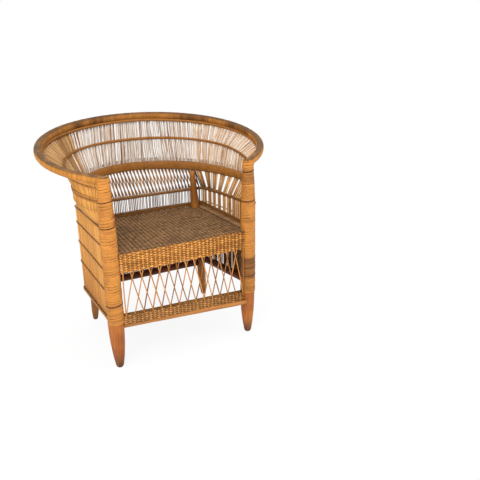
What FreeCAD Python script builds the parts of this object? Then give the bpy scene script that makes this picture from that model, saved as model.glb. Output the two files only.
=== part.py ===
import FreeCAD, Part
# Cane tub armchair: a frame of peeled poles, a flared wall of reeds and a woven seat.
# Millimetres, +Z up, the sitter faces -Y. The origin is on the floor, below the middle of the box.
import math
import os
from FreeCAD import Vector

# Overall sizes
overall_width = 846.0
overall_depth = 568.0
overall_height = 818.0
arm_height = 698.0
# How far the rim stands out past the axis of a front post, and past the rear posts at the back
arm_overhang = 161.0
back_overhang = 144.5

# Posts of peeled pole
rear_post_inset = 14.0
# How far a rear post leans in between the floor and the waist
rear_post_lean = 35.0
front_leg_radius = 27.5
front_arm_radius = 25.5
front_shoulder_radius = 22.0
front_top_radius = 16.0
front_taper_height = 520.0
front_foot_radius = 13.0
front_leg_taper_top = 172.0
rear_post_radius = 18.0
rear_top_radius = 10.0
rear_foot_radius = 10.5
rear_leg_taper_top = 150.0
foot_rounding = 5.0
# Each step of a leg's taper: share of the taper's height, share of the full thickening
leg_taper_steps = ((0.0, 0.0), (0.25, 0.47), (0.55, 0.83), (1.0, 1.0))

# Poles between the posts, heights at their axes
pole_radius = 15.0
pole_clearance = 0.5
front_stretcher_left = 190.0
front_stretcher_right = 168.0
side_stretcher_front = 222.0
side_stretcher_rear = 186.0
rear_stretcher_height = 160.0

# Seat
seat_front_height = 433.0
seat_rear_height = 420.0
seat_thickness = 9.0
stake_radius = 5.0
stake_pitch = 38.0
apron_height = 71.0
apron_thickness = 9.0
apron_rounding = 6.0

# Lower front band, batten and lattice
band_front_height = 33.0
band_front_thickness = 8.0
batten_radius = 9.0
batten_lap = 8.0
batten_left_inset = 6.0
lattice_cane = 3.4
lattice_pitch = 33.0
lattice_pair_gap = 16.0
lattice_lean = 1.06

# Reeds of the wall, in two layers
reed_width = 6.0
reed_thickness = 4.0
reed_layer_gap = 0.3
reed_pitch = 27.0
# From the waist up the reeds stand closer to the middle of the back, by this share
reed_fan_share = 0.95

# Bands and hoops on the wall
fit_clearance = 0.2
band_thickness = 4.0
band_height = 11.0
outer_band_height = 7.0
wall_bottom_front = 190.0
wall_bottom_rear = 143.0
low_band_front = 535.0
low_band_rear = 500.0
seat_band_front = 468.0
seat_band_rear = 437.0
inner_seat_band_front = 448.0
inner_seat_band_height = 20.0
middle_band_front = 385.0
middle_band_rear = 358.0
under_band_front = 306.0
under_band_rear = 273.0
binding_height = 12.0

# Waist band, horizontal, where the box of the seat turns into the round of the back
waist_top = 612.0
waist_band_height = 35.0
waist_band_thickness = 5.0
waist_hoop_height = 14.0
waist_side_inset = 92.0
waist_back_bulge = 4.0
waist_widest_share = 0.316
waist_end_offset = 11.0
# The reeds stand straight to this height above the waist band, then flare
flare_rise = 12.0

# Upper hoop, between the waist and the rim
upper_front_share = 0.776
upper_back_share = 0.52
upper_side_inset = 74.5
upper_widest_share = 0.40
upper_end_offset = 3.0
hoop_thickness = 6.0
hoop_height = 9.0

# Rim
rim_section = 28.0
rim_chamfer = 8.0
rim_wrap_thickness = 2.5
rim_widest_share = 0.436
rim_overhang = 13.0
rim_hoop_height = 12.0
strap_thickness = 1.5
strap_width = 11.0
strap_setback = 8.0

# Cane wound round the front posts
wrap_thickness = 2.0

# Worked-out places
UP = Vector(0, 0, 1)
SIDES = (-1, 1)
PATH_SPANS = 30
POST_SIDES = 24
front_x = overall_width / 2 - arm_overhang
rear_x = front_x - rear_post_inset
wall_half = reed_thickness + reed_layer_gap / 2
front_wall_offset = pole_radius + pole_clearance + wall_half
rear_wall_offset = rear_post_radius + fit_clearance + band_thickness + fit_clearance + wall_half
waist_bottom = waist_top - waist_band_height
batten_left_height = front_stretcher_left - band_front_height / 2 - batten_radius
batten_right_height = front_stretcher_right - band_front_height / 2 - batten_radius


def step_value(steps, place):
    """Value at a place on a line of straight steps of (place, value)."""
    for (place_low, value_low), (place_high, value_high) in zip(steps, steps[1:]):
        if place <= place_high:
            return value_low + (value_high - value_low) * (place - place_low) / (place_high - place_low)
    return steps[-1][1]


def taper_radius(z, foot, full, top):
    """Radius of a leg at height z, from its foot to its full thickness at height top."""
    return foot + (full - foot) * step_value(leg_taper_steps, z / top)


arm_steps = (
    (front_leg_taper_top, front_leg_radius),
    (front_taper_height, front_arm_radius),
    ((front_taper_height + arm_height) / 2, front_shoulder_radius),
    (arm_height, front_top_radius),
)


def wound_radius(z):
    """Radius of a front post in its winding at height z."""
    return step_value(arm_steps, z) + wrap_thickness


batten_leg_radius = taper_radius(
    batten_right_height, front_foot_radius, front_leg_radius, front_leg_taper_top
)
front_y = -overall_depth / 2 + batten_leg_radius + batten_radius
back_y = overall_depth / 2
rear_y = back_y - back_overhang

# Half the width and the depth of the rim, the upper hoop and the waist, at the middle of the wall
rim_half_width = overall_width / 2 - rim_section / 2
rim_depth = back_y - rim_section / 2 - front_y
upper_half_width = rim_half_width - upper_side_inset
waist_half_width = rim_half_width - waist_side_inset
waist_depth = rim_depth + waist_back_bulge
upper_front_height = waist_top + upper_front_share * (arm_height - rim_section - waist_top)
upper_back_height = waist_top + upper_back_share * (overall_height - rim_section - waist_top)


class Plane:
    """A plane that is level from side to side and rises or falls from the front posts to y_back."""

    def __init__(self, z_front, z_back, y_back):
        self.z_front = z_front
        self.slope = (z_back - z_front) / (y_back - front_y)

    def z(self, y):
        return self.z_front + self.slope * (y - front_y)

    def height(self, place):
        return self.z(place.y)

    def shifted(self, dz):
        copy = Plane(self.z_front + dz, self.z_front + dz, back_y)
        copy.slope = self.slope
        return copy


rim_top_plane = Plane(arm_height, overall_height, back_y)
rim_under_plane = rim_top_plane.shifted(-rim_section)
flare_plane = Plane(waist_top + flare_rise, waist_top + flare_rise, back_y)
waist_bottom_plane = Plane(waist_bottom, waist_bottom, back_y)
upper_plane = Plane(upper_front_height, upper_back_height, front_y + rim_depth)
low_plane = Plane(low_band_front, low_band_rear, rear_y)
seat_band_plane = Plane(seat_band_front, seat_band_rear, rear_y)
inner_seat_band_plane = Plane(inner_seat_band_front, seat_band_rear, rear_y)
middle_plane = Plane(middle_band_front, middle_band_rear, rear_y)
under_plane = Plane(under_band_front, under_band_rear, rear_y)
bottom_plane = Plane(wall_bottom_front, wall_bottom_rear, rear_y)
seat_plane = Plane(seat_front_height, seat_rear_height, rear_y)


def solve_exponent(a, b):
    """The exponent n with a**n + b**n = 1, for a and b between 0 and 1."""
    low, high = 0.5, 20.0
    for _ in range(60):
        middle = (low + high) / 2
        if a ** middle + b ** middle > 1:
            low = middle
        else:
            high = middle
    return low


def superellipse_point(angle, half_width, half_depth, power):
    """Plan point of a superellipse about the origin, the angle measured from +Y towards +X."""
    across = abs(math.sin(angle)) / half_width
    along = abs(math.cos(angle)) / half_depth
    radius = (across ** power + along ** power) ** (-1 / power)
    return Vector(radius * math.sin(angle), radius * math.cos(angle), 0)


class RoundPath:
    """Horseshoe in plan: a superellipse in short straight spans that comes round to the two front posts."""

    def __init__(self, half_width, depth, widest_share, end_offset):
        widest = depth * widest_share
        half_depth = depth - widest
        end_x = front_x + end_offset
        power = solve_exponent(end_x / half_width, widest / half_depth)
        end_angle = math.pi / 2 + math.atan2(widest, end_x)
        centre = Vector(0, front_y + widest, 0)
        self.places = [2 * i / PATH_SPANS - 1 for i in range(PATH_SPANS + 1)]
        self.corners = [
            centre + superellipse_point(u * end_angle, half_width, half_depth, power) for u in self.places
        ]
        normals = []
        for a, b in zip(self.corners, self.corners[1:]):
            normals.append(Vector(a.y - b.y, b.x - a.x, 0).normalize())
        self.mitres = [normals[0]]
        for a, b in zip(normals, normals[1:]):
            self.mitres.append((a + b) * (1 / (1 + a.dot(b))))
        self.mitres.append(normals[-1])

    def point(self, u, offset=0.0):
        """Plan point at u, from -1 at the left post over 0 at the back to 1 at the right post."""
        place = (u + 1) / 2 * PATH_SPANS
        i = min(max(int(place), 0), PATH_SPANS - 1)
        start = self.corners[i] + self.mitres[i] * offset
        end = self.corners[i + 1] + self.mitres[i + 1] * offset
        return start + (end - start) * (place - i)

    def reach(self, offset, z):
        """The place where the path, moved out by offset, comes up to a wound post at height z."""
        axis = Vector(front_x, front_y, 0)
        low, high = 0.5, 1.0
        for _ in range(40):
            middle = (low + high) / 2
            if (self.point(middle, offset) - axis).Length > wound_radius(z):
                low = middle
            else:
                high = middle
        return low


class BoxPath:
    """Plan of the wall below the waist: straight sides and back, rounded about the rear posts."""

    def __init__(self, offset=0.0, end_gap=0.0):
        self.radius = rear_wall_offset + offset
        self.front = Vector(front_x + front_wall_offset + offset, front_y, 0)
        self.centre = Vector(rear_x, rear_y, 0)
        to_front = self.front - self.centre
        self.start_angle = math.atan2(to_front.y, to_front.x) + math.acos(self.radius / to_front.Length)
        self.tangent = self.on_corner(self.start_angle)
        self.side_length = (self.front - self.tangent).Length
        self.end = self.front + (self.tangent - self.front) * (end_gap / self.side_length)
        self.arc_length = self.radius * (math.pi / 2 - self.start_angle)
        self.half_length = rear_x + self.arc_length + self.side_length

    def on_corner(self, angle):
        return self.centre + Vector(math.cos(angle), math.sin(angle), 0) * self.radius

    def point(self, u):
        """Plan point at u, from -1 at the left post over 0 at the back to 1 at the right post."""
        distance = abs(u) * self.half_length
        if distance <= rear_x:
            place = Vector(distance, rear_y + self.radius, 0)
        elif distance <= rear_x + self.arc_length:
            place = self.on_corner(math.pi / 2 - (distance - rear_x) / self.radius)
        else:
            share = (distance - rear_x - self.arc_length) / self.side_length
            place = self.tangent + (self.front - self.tangent) * share
        return Vector(math.copysign(place.x, u), place.y, 0)

    def edges(self):
        """The path as lines and arcs, from the left post to the right post."""
        right = [self.on_corner(math.pi / 2), self.on_corner((math.pi / 2 + self.start_angle) / 2)]
        right += [self.tangent, self.end]
        left = [Vector(-p.x, p.y, 0) for p in right]
        return [
            Part.LineSegment(left[3], left[2]).toShape(),
            Part.Arc(left[2], left[1], left[0]).toShape(),
            Part.LineSegment(left[0], right[0]).toShape(),
            Part.Arc(right[0], right[1], right[2]).toShape(),
            Part.LineSegment(right[2], right[3]).toShape(),
        ]


rim_path = RoundPath(rim_half_width, rim_depth, rim_widest_share, 0.0)
upper_path = RoundPath(upper_half_width, rim_depth, upper_widest_share, upper_end_offset)
waist_path = RoundPath(waist_half_width, waist_depth, waist_widest_share, waist_end_offset)
box_path = BoxPath()


def polygon_face(points):
    return Part.Face(Part.makePolygon(list(points) + [points[0]]))


def landed(start, run, height):
    """Where the line from start along run meets the plane that has this height over a place."""
    gap_start = height(start) - start.z
    gap_end = height(start + run) - (start + run).z
    return start + run * (gap_start / (gap_start - gap_end))


def ruled_solid(rings):
    """Solid of flat faces between a row of corner rings."""
    faces = [polygon_face(rings[0]), polygon_face(rings[-1])]
    for low, high in zip(rings, rings[1:]):
        for i in range(len(low)):
            j = (i + 1) % len(low)
            faces.append(polygon_face([low[i], low[j], high[j], high[i]]))
    solid = Part.Solid(Part.Shell(faces))
    if solid.Volume < 0:
        solid.reverse()
    return solid


def cane_solid(centres, corners, heights):
    """Cane of flat sides along a row of centres, each end and bend cut by a plane of the given height."""
    ring = [landed(centres[0] + corner, UP, heights[0]) for corner in corners]
    rings = [ring]
    for start, end, height in zip(centres, centres[1:], heights[1:]):
        ring = [landed(place, end - start, height) for place in ring]
        rings.append(ring)
    return ruled_solid(rings)


def slab(plane, height):
    """Everything between a plane and the same plane raised by height, wider than the chair."""
    reach = overall_width + overall_depth
    corners = [
        Vector(-reach, -reach, plane.z(-reach)),
        Vector(-reach, reach, plane.z(reach)),
        Vector(-reach, reach, plane.z(reach) + height),
        Vector(-reach, -reach, plane.z(-reach) + height),
    ]
    return polygon_face(corners).extrude(Vector(2 * reach, 0, 0))


def above(plane):
    return slab(plane, overall_height)


def round_hoop(path, plane, inner, outer, height):
    """Hoop of upright walls on a horseshoe path, its underside on the plane, its ends on the front posts."""
    reach = path.reach(inner, plane.z_front)
    places = [-reach] + [u for u in path.places if abs(u) < reach] + [reach]
    plan = [path.point(u, inner) for u in places]
    plan += [path.point(u, outer) for u in reversed(places)]
    corners = [Vector(p.x, p.y, plane.z(p.y)) for p in plan]
    return polygon_face(corners).extrude(UP * height)


def box_hoop(plane, inner, outer, height):
    """Band on the straight-sided wall, its underside on the plane, its ends on the front posts."""
    end_gap = math.sqrt(wound_radius(plane.z_front) ** 2 - (front_wall_offset + inner) ** 2)
    inside = BoxPath(inner, end_gap).edges()
    outside = BoxPath(outer, end_gap).edges()
    ends = []
    for place in (0, -1):
        a = inside[place].Vertexes[place].Point
        b = outside[place].Vertexes[place].Point
        ends.append(Part.makeLine(a, b))
    face = Part.Face(Part.Wire(Part.__sortEdges__(inside + ends + outside)))
    return face.extrude(UP * overall_height).common(slab(plane, height))


def turned(outline, x, y, lean=0.0):
    """Flat-sided post with an outline of (height, radius); lean is its shift along X per unit of height."""
    turns = [2 * math.pi * i / POST_SIDES for i in range(POST_SIDES)]
    rings = []
    for z, radius in outline:
        middle = Vector(x + lean * z, y, z)
        rings.append([middle + Vector(math.cos(t), math.sin(t), 0) * radius for t in turns])
    return ruled_solid(rings)


def leg_outline(foot, full, top):
    """Outline of a leg from its rounded foot to its full thickness."""
    heights = [foot_rounding] + [share * top for share, _ in leg_taper_steps[1:]]
    return [(0.0, foot - foot_rounding)] + [(z, taper_radius(z, foot, full, top)) for z in heights]


def arm_outline(extra):
    """Outline of a front post above its leg, thickened by extra."""
    return [(z, radius + extra) for z, radius in arm_steps]


def make_front_post(side):
    """Front post, cut off under the rim."""
    leg = leg_outline(front_foot_radius, front_leg_radius, front_leg_taper_top)
    return turned(leg + arm_outline(0.0)[1:], side * front_x, front_y).cut(above(rim_under_plane))


def make_front_wrap(side):
    """Winding of flat cane on a front post, as one sleeve."""
    outside = turned(arm_outline(wrap_thickness), side * front_x, front_y)
    inside = turned(arm_outline(0.0), side * front_x, front_y)
    return outside.cut(inside).cut(above(rim_under_plane))


def make_rear_post(side):
    """Rear post: tapered foot, full thickness to the seat, thinning to the waist band and leaning in."""
    outline = leg_outline(rear_foot_radius, rear_post_radius, rear_leg_taper_top)
    outline += [(seat_band_rear, rear_post_radius), (waist_bottom, rear_top_radius)]
    return turned(outline, side * rear_x, rear_y, -side * rear_post_lean / waist_bottom)


def rear_axis(z):
    """Distance of a rear post's axis from the middle of the chair at height z."""
    return rear_x - rear_post_lean * z / waist_bottom


front_posts = {side: make_front_post(side) for side in SIDES}
front_wraps = {side: make_front_wrap(side) for side in SIDES}


def butted(shape):
    """The shape with its ends cut to the front posts in their windings."""
    for side in SIDES:
        shape = shape.cut(front_posts[side]).cut(front_wraps[side])
    return shape


def pole_between(start, end):
    """Pole from post axis to post axis, let into each post short of where two poles would meet."""
    run = (end - start).normalize()
    start = start + run * (pole_radius + pole_clearance)
    end = end - run * (pole_radius + pole_clearance)
    return Part.makeCylinder(pole_radius, (end - start).Length, start, run)


def rail_height(y):
    """Axis height of a seat rail that carries the stakes of the seat at depth y."""
    return seat_plane.z(y) - seat_thickness - 2 * stake_radius - pole_radius


def make_cross_rail(x, y, z_left, z_right):
    """Pole from a left post to the right one."""
    return pole_between(Vector(-x, y, z_left), Vector(x, y, z_right))


def make_side_rail(side, z_front, z_rear):
    """Pole from a front post to the rear post behind it."""
    start = Vector(side * front_x, front_y, z_front)
    return pole_between(start, Vector(side * rear_axis(z_rear), rear_y, z_rear))


apron_back = front_y - pole_radius
apron_front = apron_back - apron_thickness


def half_notch(x, y, radius, way):
    """Straight cuts round half a post, from the seat's edge to the side of the post that faces the seat."""
    near = radius * math.tan(math.pi / 8)
    edge = math.copysign(pole_radius, way)
    return [
        Vector(x - radius, y - edge, 0),
        Vector(x - radius, y + way * near, 0),
        Vector(x - near, y + way * radius, 0),
    ]


def make_seat():
    """Woven seat: a thin panel notched round the posts, falling a little to the rear."""
    front_radius = wound_radius(seat_front_height) + fit_clearance
    rear_radius = rear_post_radius + fit_clearance
    rear_post = rear_axis(seat_rear_height)
    rear_cut = half_notch(rear_post, rear_y, rear_radius, -1)
    right = half_notch(front_x, front_y, front_radius, 1)
    right.append(Vector(front_x, front_y + front_radius, 0))
    right.append(Vector(rear_x, rear_y + pole_radius, 0))
    right += [Vector(2 * rear_post - p.x, p.y, 0) for p in rear_cut]
    right += rear_cut[::-1]
    left = [Vector(-p.x, p.y, 0) for p in reversed(right)]
    panel = polygon_face(right + left).extrude(UP * overall_height)
    return panel.common(slab(seat_plane.shifted(-seat_thickness), seat_thickness))


def make_stakes():
    """Canes of eight flat sides under the seat, from the front rail to the rear rail."""
    rear_gap = rear_axis(seat_rear_height) - rear_post_radius
    clear_width = min(front_x - front_leg_radius - wrap_thickness, rear_gap)
    count = int((clear_width - stake_radius) / stake_pitch)
    under = seat_plane.shifted(-seat_thickness - stake_radius)
    start_y = front_y - pole_radius
    end_y = rear_y + pole_radius
    run = Vector(0, end_y - start_y, under.z(end_y) - under.z(start_y))
    corner = stake_radius / math.cos(math.pi / 8)
    turns = [(i + 0.5) * math.pi / 4 for i in range(8)]
    stakes = []
    for i in range(-count, count + 1):
        middle = Vector(i * stake_pitch, start_y, under.z(start_y))
        ring = [middle + Vector(corner * math.cos(t), 0, corner * math.sin(t)) for t in turns]
        stakes.append(polygon_face(ring).extrude(run))
    return Part.makeCompound(stakes)


def make_apron():
    """Woven apron in front of the front rail, rounded over at its top edge."""
    top = seat_plane.z(apron_back)
    body = Part.makeBox(
        2 * front_x, apron_thickness, apron_height, Vector(-front_x, apron_front, top - apron_height)
    )
    edges = [e for e in body.Edges if e.BoundBox.YMax < apron_back and e.BoundBox.ZMin > top - apron_height]
    crest = [e for e in edges if e.BoundBox.XLength > front_x]
    return butted(body.makeFillet(apron_rounding, crest))


front_band_front = front_y - pole_radius - band_front_thickness


def make_front_band():
    """Woven band before the front stretcher; it hangs lower at the right, as the stretcher does."""
    half = band_front_height / 2
    corners = [
        Vector(-front_x, front_band_front, front_stretcher_left - half),
        Vector(front_x, front_band_front, front_stretcher_right - half),
        Vector(front_x, front_band_front, front_stretcher_right + half),
        Vector(-front_x, front_band_front, front_stretcher_left + half),
    ]
    return butted(polygon_face(corners).extrude(Vector(0, band_front_thickness, 0)))


def make_batten():
    """Half-round batten below the band: butted on the left leg, lapped over the right one."""
    start = Vector(-front_x, front_y - batten_left_inset, batten_left_height)
    end = Vector(front_x + batten_lap, front_y - batten_leg_radius, batten_right_height)
    run = end - start
    round_bar = Part.makeCylinder(batten_radius, run.Length, start, run)
    across = Vector(-run.y, run.x, 0).normalize()
    behind = Part.makeBox(run.Length + batten_radius, 2 * batten_radius, 4 * batten_radius)
    behind.Placement = FreeCAD.Placement(
        start - run.normalize() * batten_radius / 2 - UP * 2 * batten_radius,
        FreeCAD.Rotation(run, across, UP, "XYZ"),
    )
    return butted(round_bar.cut(behind))


def make_lattice():
    """Thin canes from the apron to the lower band: one leaning right in front, one left behind."""
    top_z = seat_plane.z(apron_back) - apron_height
    top_y = (apron_front + apron_back) / 2
    foot_y = front_band_front + band_front_thickness / 2
    half = lattice_cane / 2
    edge = front_x - front_leg_radius - wrap_thickness - lattice_cane
    lean = lattice_lean * lattice_pitch
    count = int((edge - lattice_pair_gap / 2) / lattice_pitch)
    square = [Vector(x, y, 0) for x, y in ((-half, -half), (half, -half), (half, half), (-half, half))]

    def top_height(place):
        return top_z

    def foot_height(place):
        share = (place.x + front_x) / (2 * front_x)
        middle = front_stretcher_left + (front_stretcher_right - front_stretcher_left) * share
        return middle + band_front_height / 2

    def cane(x_top, x_foot, layer):
        x_foot = max(-edge, min(edge, x_foot))
        shift = Vector(0, layer * (lattice_cane + fit_clearance) / 2, 0)
        top = Vector(x_top, top_y, top_z) + shift
        foot = Vector(x_foot, foot_y, foot_height(Vector(x_foot, 0, 0))) + shift
        return cane_solid([top, foot], square, [top_height, foot_height])

    canes = []
    for i in range(-count, count + 1):
        middle = i * lattice_pitch
        canes.append(cane(middle - lattice_pair_gap / 2, middle + lean, -1))
        canes.append(cane(middle + lattice_pair_gap / 2, middle - lean, 1))
    for side in SIDES:
        canes.append(cane(side * edge, side * edge, 0))
    return Part.makeCompound(canes)


def wall_frame(path, u):
    """Place on a wall path, with its directions along the wall and out of it."""
    step = 0.002
    run = path.point(u + step) - path.point(u - step)
    run.normalize()
    return path.point(u), run, Vector(-run.y, run.x, 0)


def reed(stations, layer):
    """Split reed through stations of (path, u, plane), in the inner layer (-1) or the outer one (1)."""
    middle_path, middle_u, _ = stations[len(stations) // 2]
    _, run, out = wall_frame(middle_path, middle_u)
    if out.dot(middle_path.point(middle_u) - Vector(0, (front_y + rear_y) / 2, 0)) < 0:
        out = out * -1
    shift = out * (layer * (reed_thickness + reed_layer_gap) / 2)
    half_run = run * (reed_width / 2)
    half_out = out * (reed_thickness / 2)
    corners = [half_run * -1 - half_out, half_run - half_out, half_run + half_out, half_out - half_run]
    centres = []
    for path, u, plane in stations:
        plan = path.point(u) + shift
        centres.append(Vector(plan.x, plan.y, plane.height(plan)))
    return cane_solid(centres, corners, [plane.height for _, _, plane in stations])


front_reed_gap = math.sqrt((front_leg_radius + wrap_thickness + reed_width) ** 2 - front_wall_offset ** 2)
reed_reach = 1 - front_reed_gap / box_path.half_length
corner_reach = (rear_x + box_path.arc_length / 2) / box_path.half_length
reed_count = int(2 * reed_reach * box_path.half_length / reed_pitch)
reed_step = 2 * reed_reach / reed_count


def reed_places():
    """Every reed of the wall as (u, layer), the two layers set between each other."""
    places = []
    for i in range(reed_count):
        start = -reed_reach + i * reed_step
        places.append((start + reed_step / 4, -1))
        places.append((start + 3 * reed_step / 4, 1))
    return places


def wall_part(u):
    """The part of the wall that a reed belongs to."""
    if abs(u) <= corner_reach:
        return "back"
    return "left" if u < 0 else "right"


def make_wall_reeds(part):
    """Upright reeds from the bottom edge to the lower band."""
    reeds = []
    for u, layer in reed_places():
        if wall_part(u) == part:
            reeds.append(reed([(box_path, u, bottom_plane), (box_path, u, low_plane)], layer))
    return Part.makeCompound(reeds)


def make_crossed_reeds(part):
    """Reeds from the lower band to the waist; across the back the two layers cross each other."""
    reeds = []
    for u, layer in reed_places():
        if wall_part(u) == part:
            lean = layer * reed_step / 2 if part == "back" else 0.0
            low = max(-corner_reach, min(corner_reach, u - lean)) if part == "back" else u
            high = (u + lean) * reed_fan_share
            reeds.append(reed([(box_path, low, low_plane), (waist_path, high, waist_bottom_plane)], layer))
    return Part.makeCompound(reeds)


def make_flare_reeds(part):
    """Reeds that stand up through the waist band and flare out to the rim."""
    reeds = []
    for u, layer in reed_places():
        if wall_part(u) == part:
            high = u * reed_fan_share
            stations = [
                (waist_path, high, waist_bottom_plane),
                (waist_path, high, flare_plane),
                (upper_path, high, upper_plane),
                (rim_path, high, rim_under_plane),
            ]
            reeds.append(reed(stations, layer))
    return Part.makeCompound(reeds)


wall_inside = -wall_half - fit_clearance
wall_outside = wall_half + fit_clearance


def inner_band(plane, height):
    return box_hoop(plane.shifted(-height), wall_inside - band_thickness, wall_inside, height)


def outer_band(plane, height):
    return box_hoop(plane.shifted(-height), wall_outside, wall_outside + band_thickness, height)


def make_waist_band():
    """Wide flat band inside the waist."""
    inner = wall_inside - waist_band_thickness
    return round_hoop(waist_path, waist_bottom_plane, inner, wall_inside, waist_band_height)


def make_waist_hoop():
    """Hoop round the outside of the waist, just under the flare."""
    under = flare_plane.shifted(-waist_hoop_height)
    outer = wall_outside + band_thickness
    return round_hoop(waist_path, under, wall_outside, outer, waist_hoop_height)


def make_upper_inner():
    return round_hoop(upper_path, upper_plane, wall_inside - hoop_thickness, wall_inside, hoop_height)


def make_upper_outer():
    under = upper_plane.shifted(-outer_band_height)
    return round_hoop(upper_path, under, wall_outside, wall_outside + band_thickness, outer_band_height)


def make_rim_hoop():
    """Hoop inside the reeds, close under the rim."""
    under = rim_under_plane.shifted(-rim_hoop_height)
    return round_hoop(rim_path, under, -rim_section / 2, wall_inside, rim_hoop_height)


rim_end_length = (rim_path.corners[0] - rim_path.corners[1]).Length
place_per_mm = 2 / PATH_SPANS / rim_end_length
rim_reach = 1 + rim_overhang * place_per_mm


def rim_bar(cover, places):
    """Eight-sided bar on the rim's path through some places, thicker than the rim by cover all round."""
    half = rim_section / 2 + cover
    cut = rim_chamfer + cover * (2 - math.sqrt(2))
    under = rim_under_plane.shifted(-cover)
    section = [
        (-half, cut),
        (cut - half, 0.0),
        (half - cut, 0.0),
        (half, cut),
        (half, 2 * half - cut),
        (half - cut, 2 * half),
        (cut - half, 2 * half),
        (-half, 2 * half - cut),
    ]
    rings = []
    for u in places:
        plan = [rim_path.point(u, offset) for offset, _ in section]
        rings.append([Vector(p.x, p.y, under.z(p.y) + rise) for p, (_, rise) in zip(plan, section)])
    return ruled_solid(rings)


rim_places = [-rim_reach] + rim_path.places[1:-1] + [rim_reach]


def make_rim_core():
    return rim_bar(-rim_wrap_thickness, rim_places)


def make_rim_wrap():
    """Flat cane wound round the rim, as one sleeve on the core."""
    return rim_bar(0.0, rim_places).cut(make_rim_core())


def make_rim_strap(side):
    """Flat cane laid over the rim above a front post, its ends tucked in at the rim's lower edges."""
    middle = 1 - strap_setback * place_per_mm
    half = strap_width / 2 * place_per_mm
    near, far = side * (middle - half), side * (middle + half)
    under_strap = [side * rim_path.places[-2], side * rim_reach]
    saddle = rim_bar(strap_thickness, [near, far]).cut(rim_bar(0.0, under_strap))
    return saddle.common(above(rim_under_plane.shifted(rim_chamfer)))


def main():
    nodes = {}
    for side, name in zip(SIDES, ("left", "right")):
        nodes["front_%s_post" % name] = front_posts[side]
        nodes["front_%s_wrap" % name] = front_wraps[side]
        nodes["rear_%s_post" % name] = make_rear_post(side)
        nodes["%s_rim_strap" % name] = make_rim_strap(side)
        nodes["%s_seat_rail" % name] = make_side_rail(side, rail_height(front_y), rail_height(rear_y))
        nodes["%s_stretcher" % name] = make_side_rail(side, side_stretcher_front, side_stretcher_rear)
    nodes["front_seat_rail"] = make_cross_rail(front_x, front_y, rail_height(front_y), rail_height(front_y))
    nodes["front_stretcher"] = make_cross_rail(front_x, front_y, front_stretcher_left, front_stretcher_right)
    for name, z in (("rear_seat_rail", rail_height(rear_y)), ("rear_stretcher", rear_stretcher_height)):
        nodes[name] = make_cross_rail(rear_axis(z), rear_y, z, z)
    nodes["seat_weave"] = make_seat()
    nodes["seat_stakes"] = make_stakes()
    nodes["front_apron"] = make_apron()
    nodes["front_lower_band"] = make_front_band()
    nodes["front_batten"] = make_batten()
    nodes["front_lattice"] = make_lattice()
    for part in ("back", "left", "right"):
        nodes["%s_wall_reeds" % part] = make_wall_reeds(part)
        nodes["%s_crossed_reeds" % part] = make_crossed_reeds(part)
        nodes["%s_flare_reeds" % part] = make_flare_reeds(part)
    nodes["low_inner_band"] = inner_band(low_plane, band_height)
    nodes["low_outer_band"] = outer_band(low_plane, outer_band_height)
    nodes["seat_inner_band"] = inner_band(inner_seat_band_plane, inner_seat_band_height)
    nodes["seat_outer_band"] = outer_band(seat_band_plane, outer_band_height)
    nodes["middle_outer_band"] = outer_band(middle_plane, outer_band_height)
    nodes["under_outer_band"] = outer_band(under_plane, outer_band_height)
    nodes["bottom_binding"] = outer_band(bottom_plane.shifted(binding_height), binding_height)
    nodes["waist_band"] = make_waist_band()
    nodes["waist_outer_hoop"] = make_waist_hoop()
    nodes["upper_inner_hoop"] = make_upper_inner()
    nodes["upper_outer_hoop"] = make_upper_outer()
    nodes["rim_inner_hoop"] = make_rim_hoop()
    nodes["rim_core"] = make_rim_core()
    nodes["rim_wrap"] = make_rim_wrap()
    os.makedirs("parts", exist_ok=True)
    for name, shape in nodes.items():
        shape.exportStep("parts/%s.step" % name)


main()
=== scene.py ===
import logging
import math
import random
from dataclasses import dataclass, field
from enum import Enum
from typing import Callable, Optional, Sequence

import bmesh
import bpy
from mathutils import Matrix, Vector


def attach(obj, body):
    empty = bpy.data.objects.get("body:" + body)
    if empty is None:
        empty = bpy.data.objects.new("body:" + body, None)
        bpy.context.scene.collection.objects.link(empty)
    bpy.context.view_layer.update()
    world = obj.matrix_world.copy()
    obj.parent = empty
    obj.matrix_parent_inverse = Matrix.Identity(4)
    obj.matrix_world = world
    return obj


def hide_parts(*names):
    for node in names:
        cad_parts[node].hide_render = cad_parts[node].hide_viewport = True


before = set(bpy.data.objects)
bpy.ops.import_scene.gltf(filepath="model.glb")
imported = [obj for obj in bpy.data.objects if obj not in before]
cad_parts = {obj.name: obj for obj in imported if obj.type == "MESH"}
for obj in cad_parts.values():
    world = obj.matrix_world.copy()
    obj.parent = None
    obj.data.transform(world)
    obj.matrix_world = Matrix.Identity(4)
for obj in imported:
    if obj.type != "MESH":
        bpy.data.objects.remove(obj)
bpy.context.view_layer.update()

log = logging.getLogger("armchair")
UP = Vector((0.0, 0.0, 1.0))
FRONT = Vector((0.0, -1.0, 0.0))
SIDES = ((-1, "left"), (1, "right"))
BODY = "root"
PHASES = (0.0, 6.28)
HALVINGS = 60
Colour = tuple[int, int, int]
Colours = tuple[Colour, Colour]
Range = tuple[float, float]
Spot = tuple[Vector, Vector]
Surface = Callable[[float, float], Spot]


def linear(colour: Colour) -> tuple[float, float, float, float]:
    """Screen colour of 0 to 255 as a linear colour.

    Args:
        colour: red, green and blue as a screen shows them.

    Returns:
        The linear red, green, blue and an alpha of 1.
    """
    parts = []
    for part in colour:
        share = part / 255
        parts.append(share / 12.92 if share <= 0.04045 else ((share + 0.055) / 1.055) ** 2.4)
    return (parts[0], parts[1], parts[2], 1.0)


def between(low: float, high: float, share: float) -> float:
    """Value at a share of the way from low to high."""
    return low + (high - low) * share


def clamped(value: float, low: float = 0.0, high: float = 1.0) -> float:
    """The value, held between low and high."""
    return max(low, min(high, value))


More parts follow.
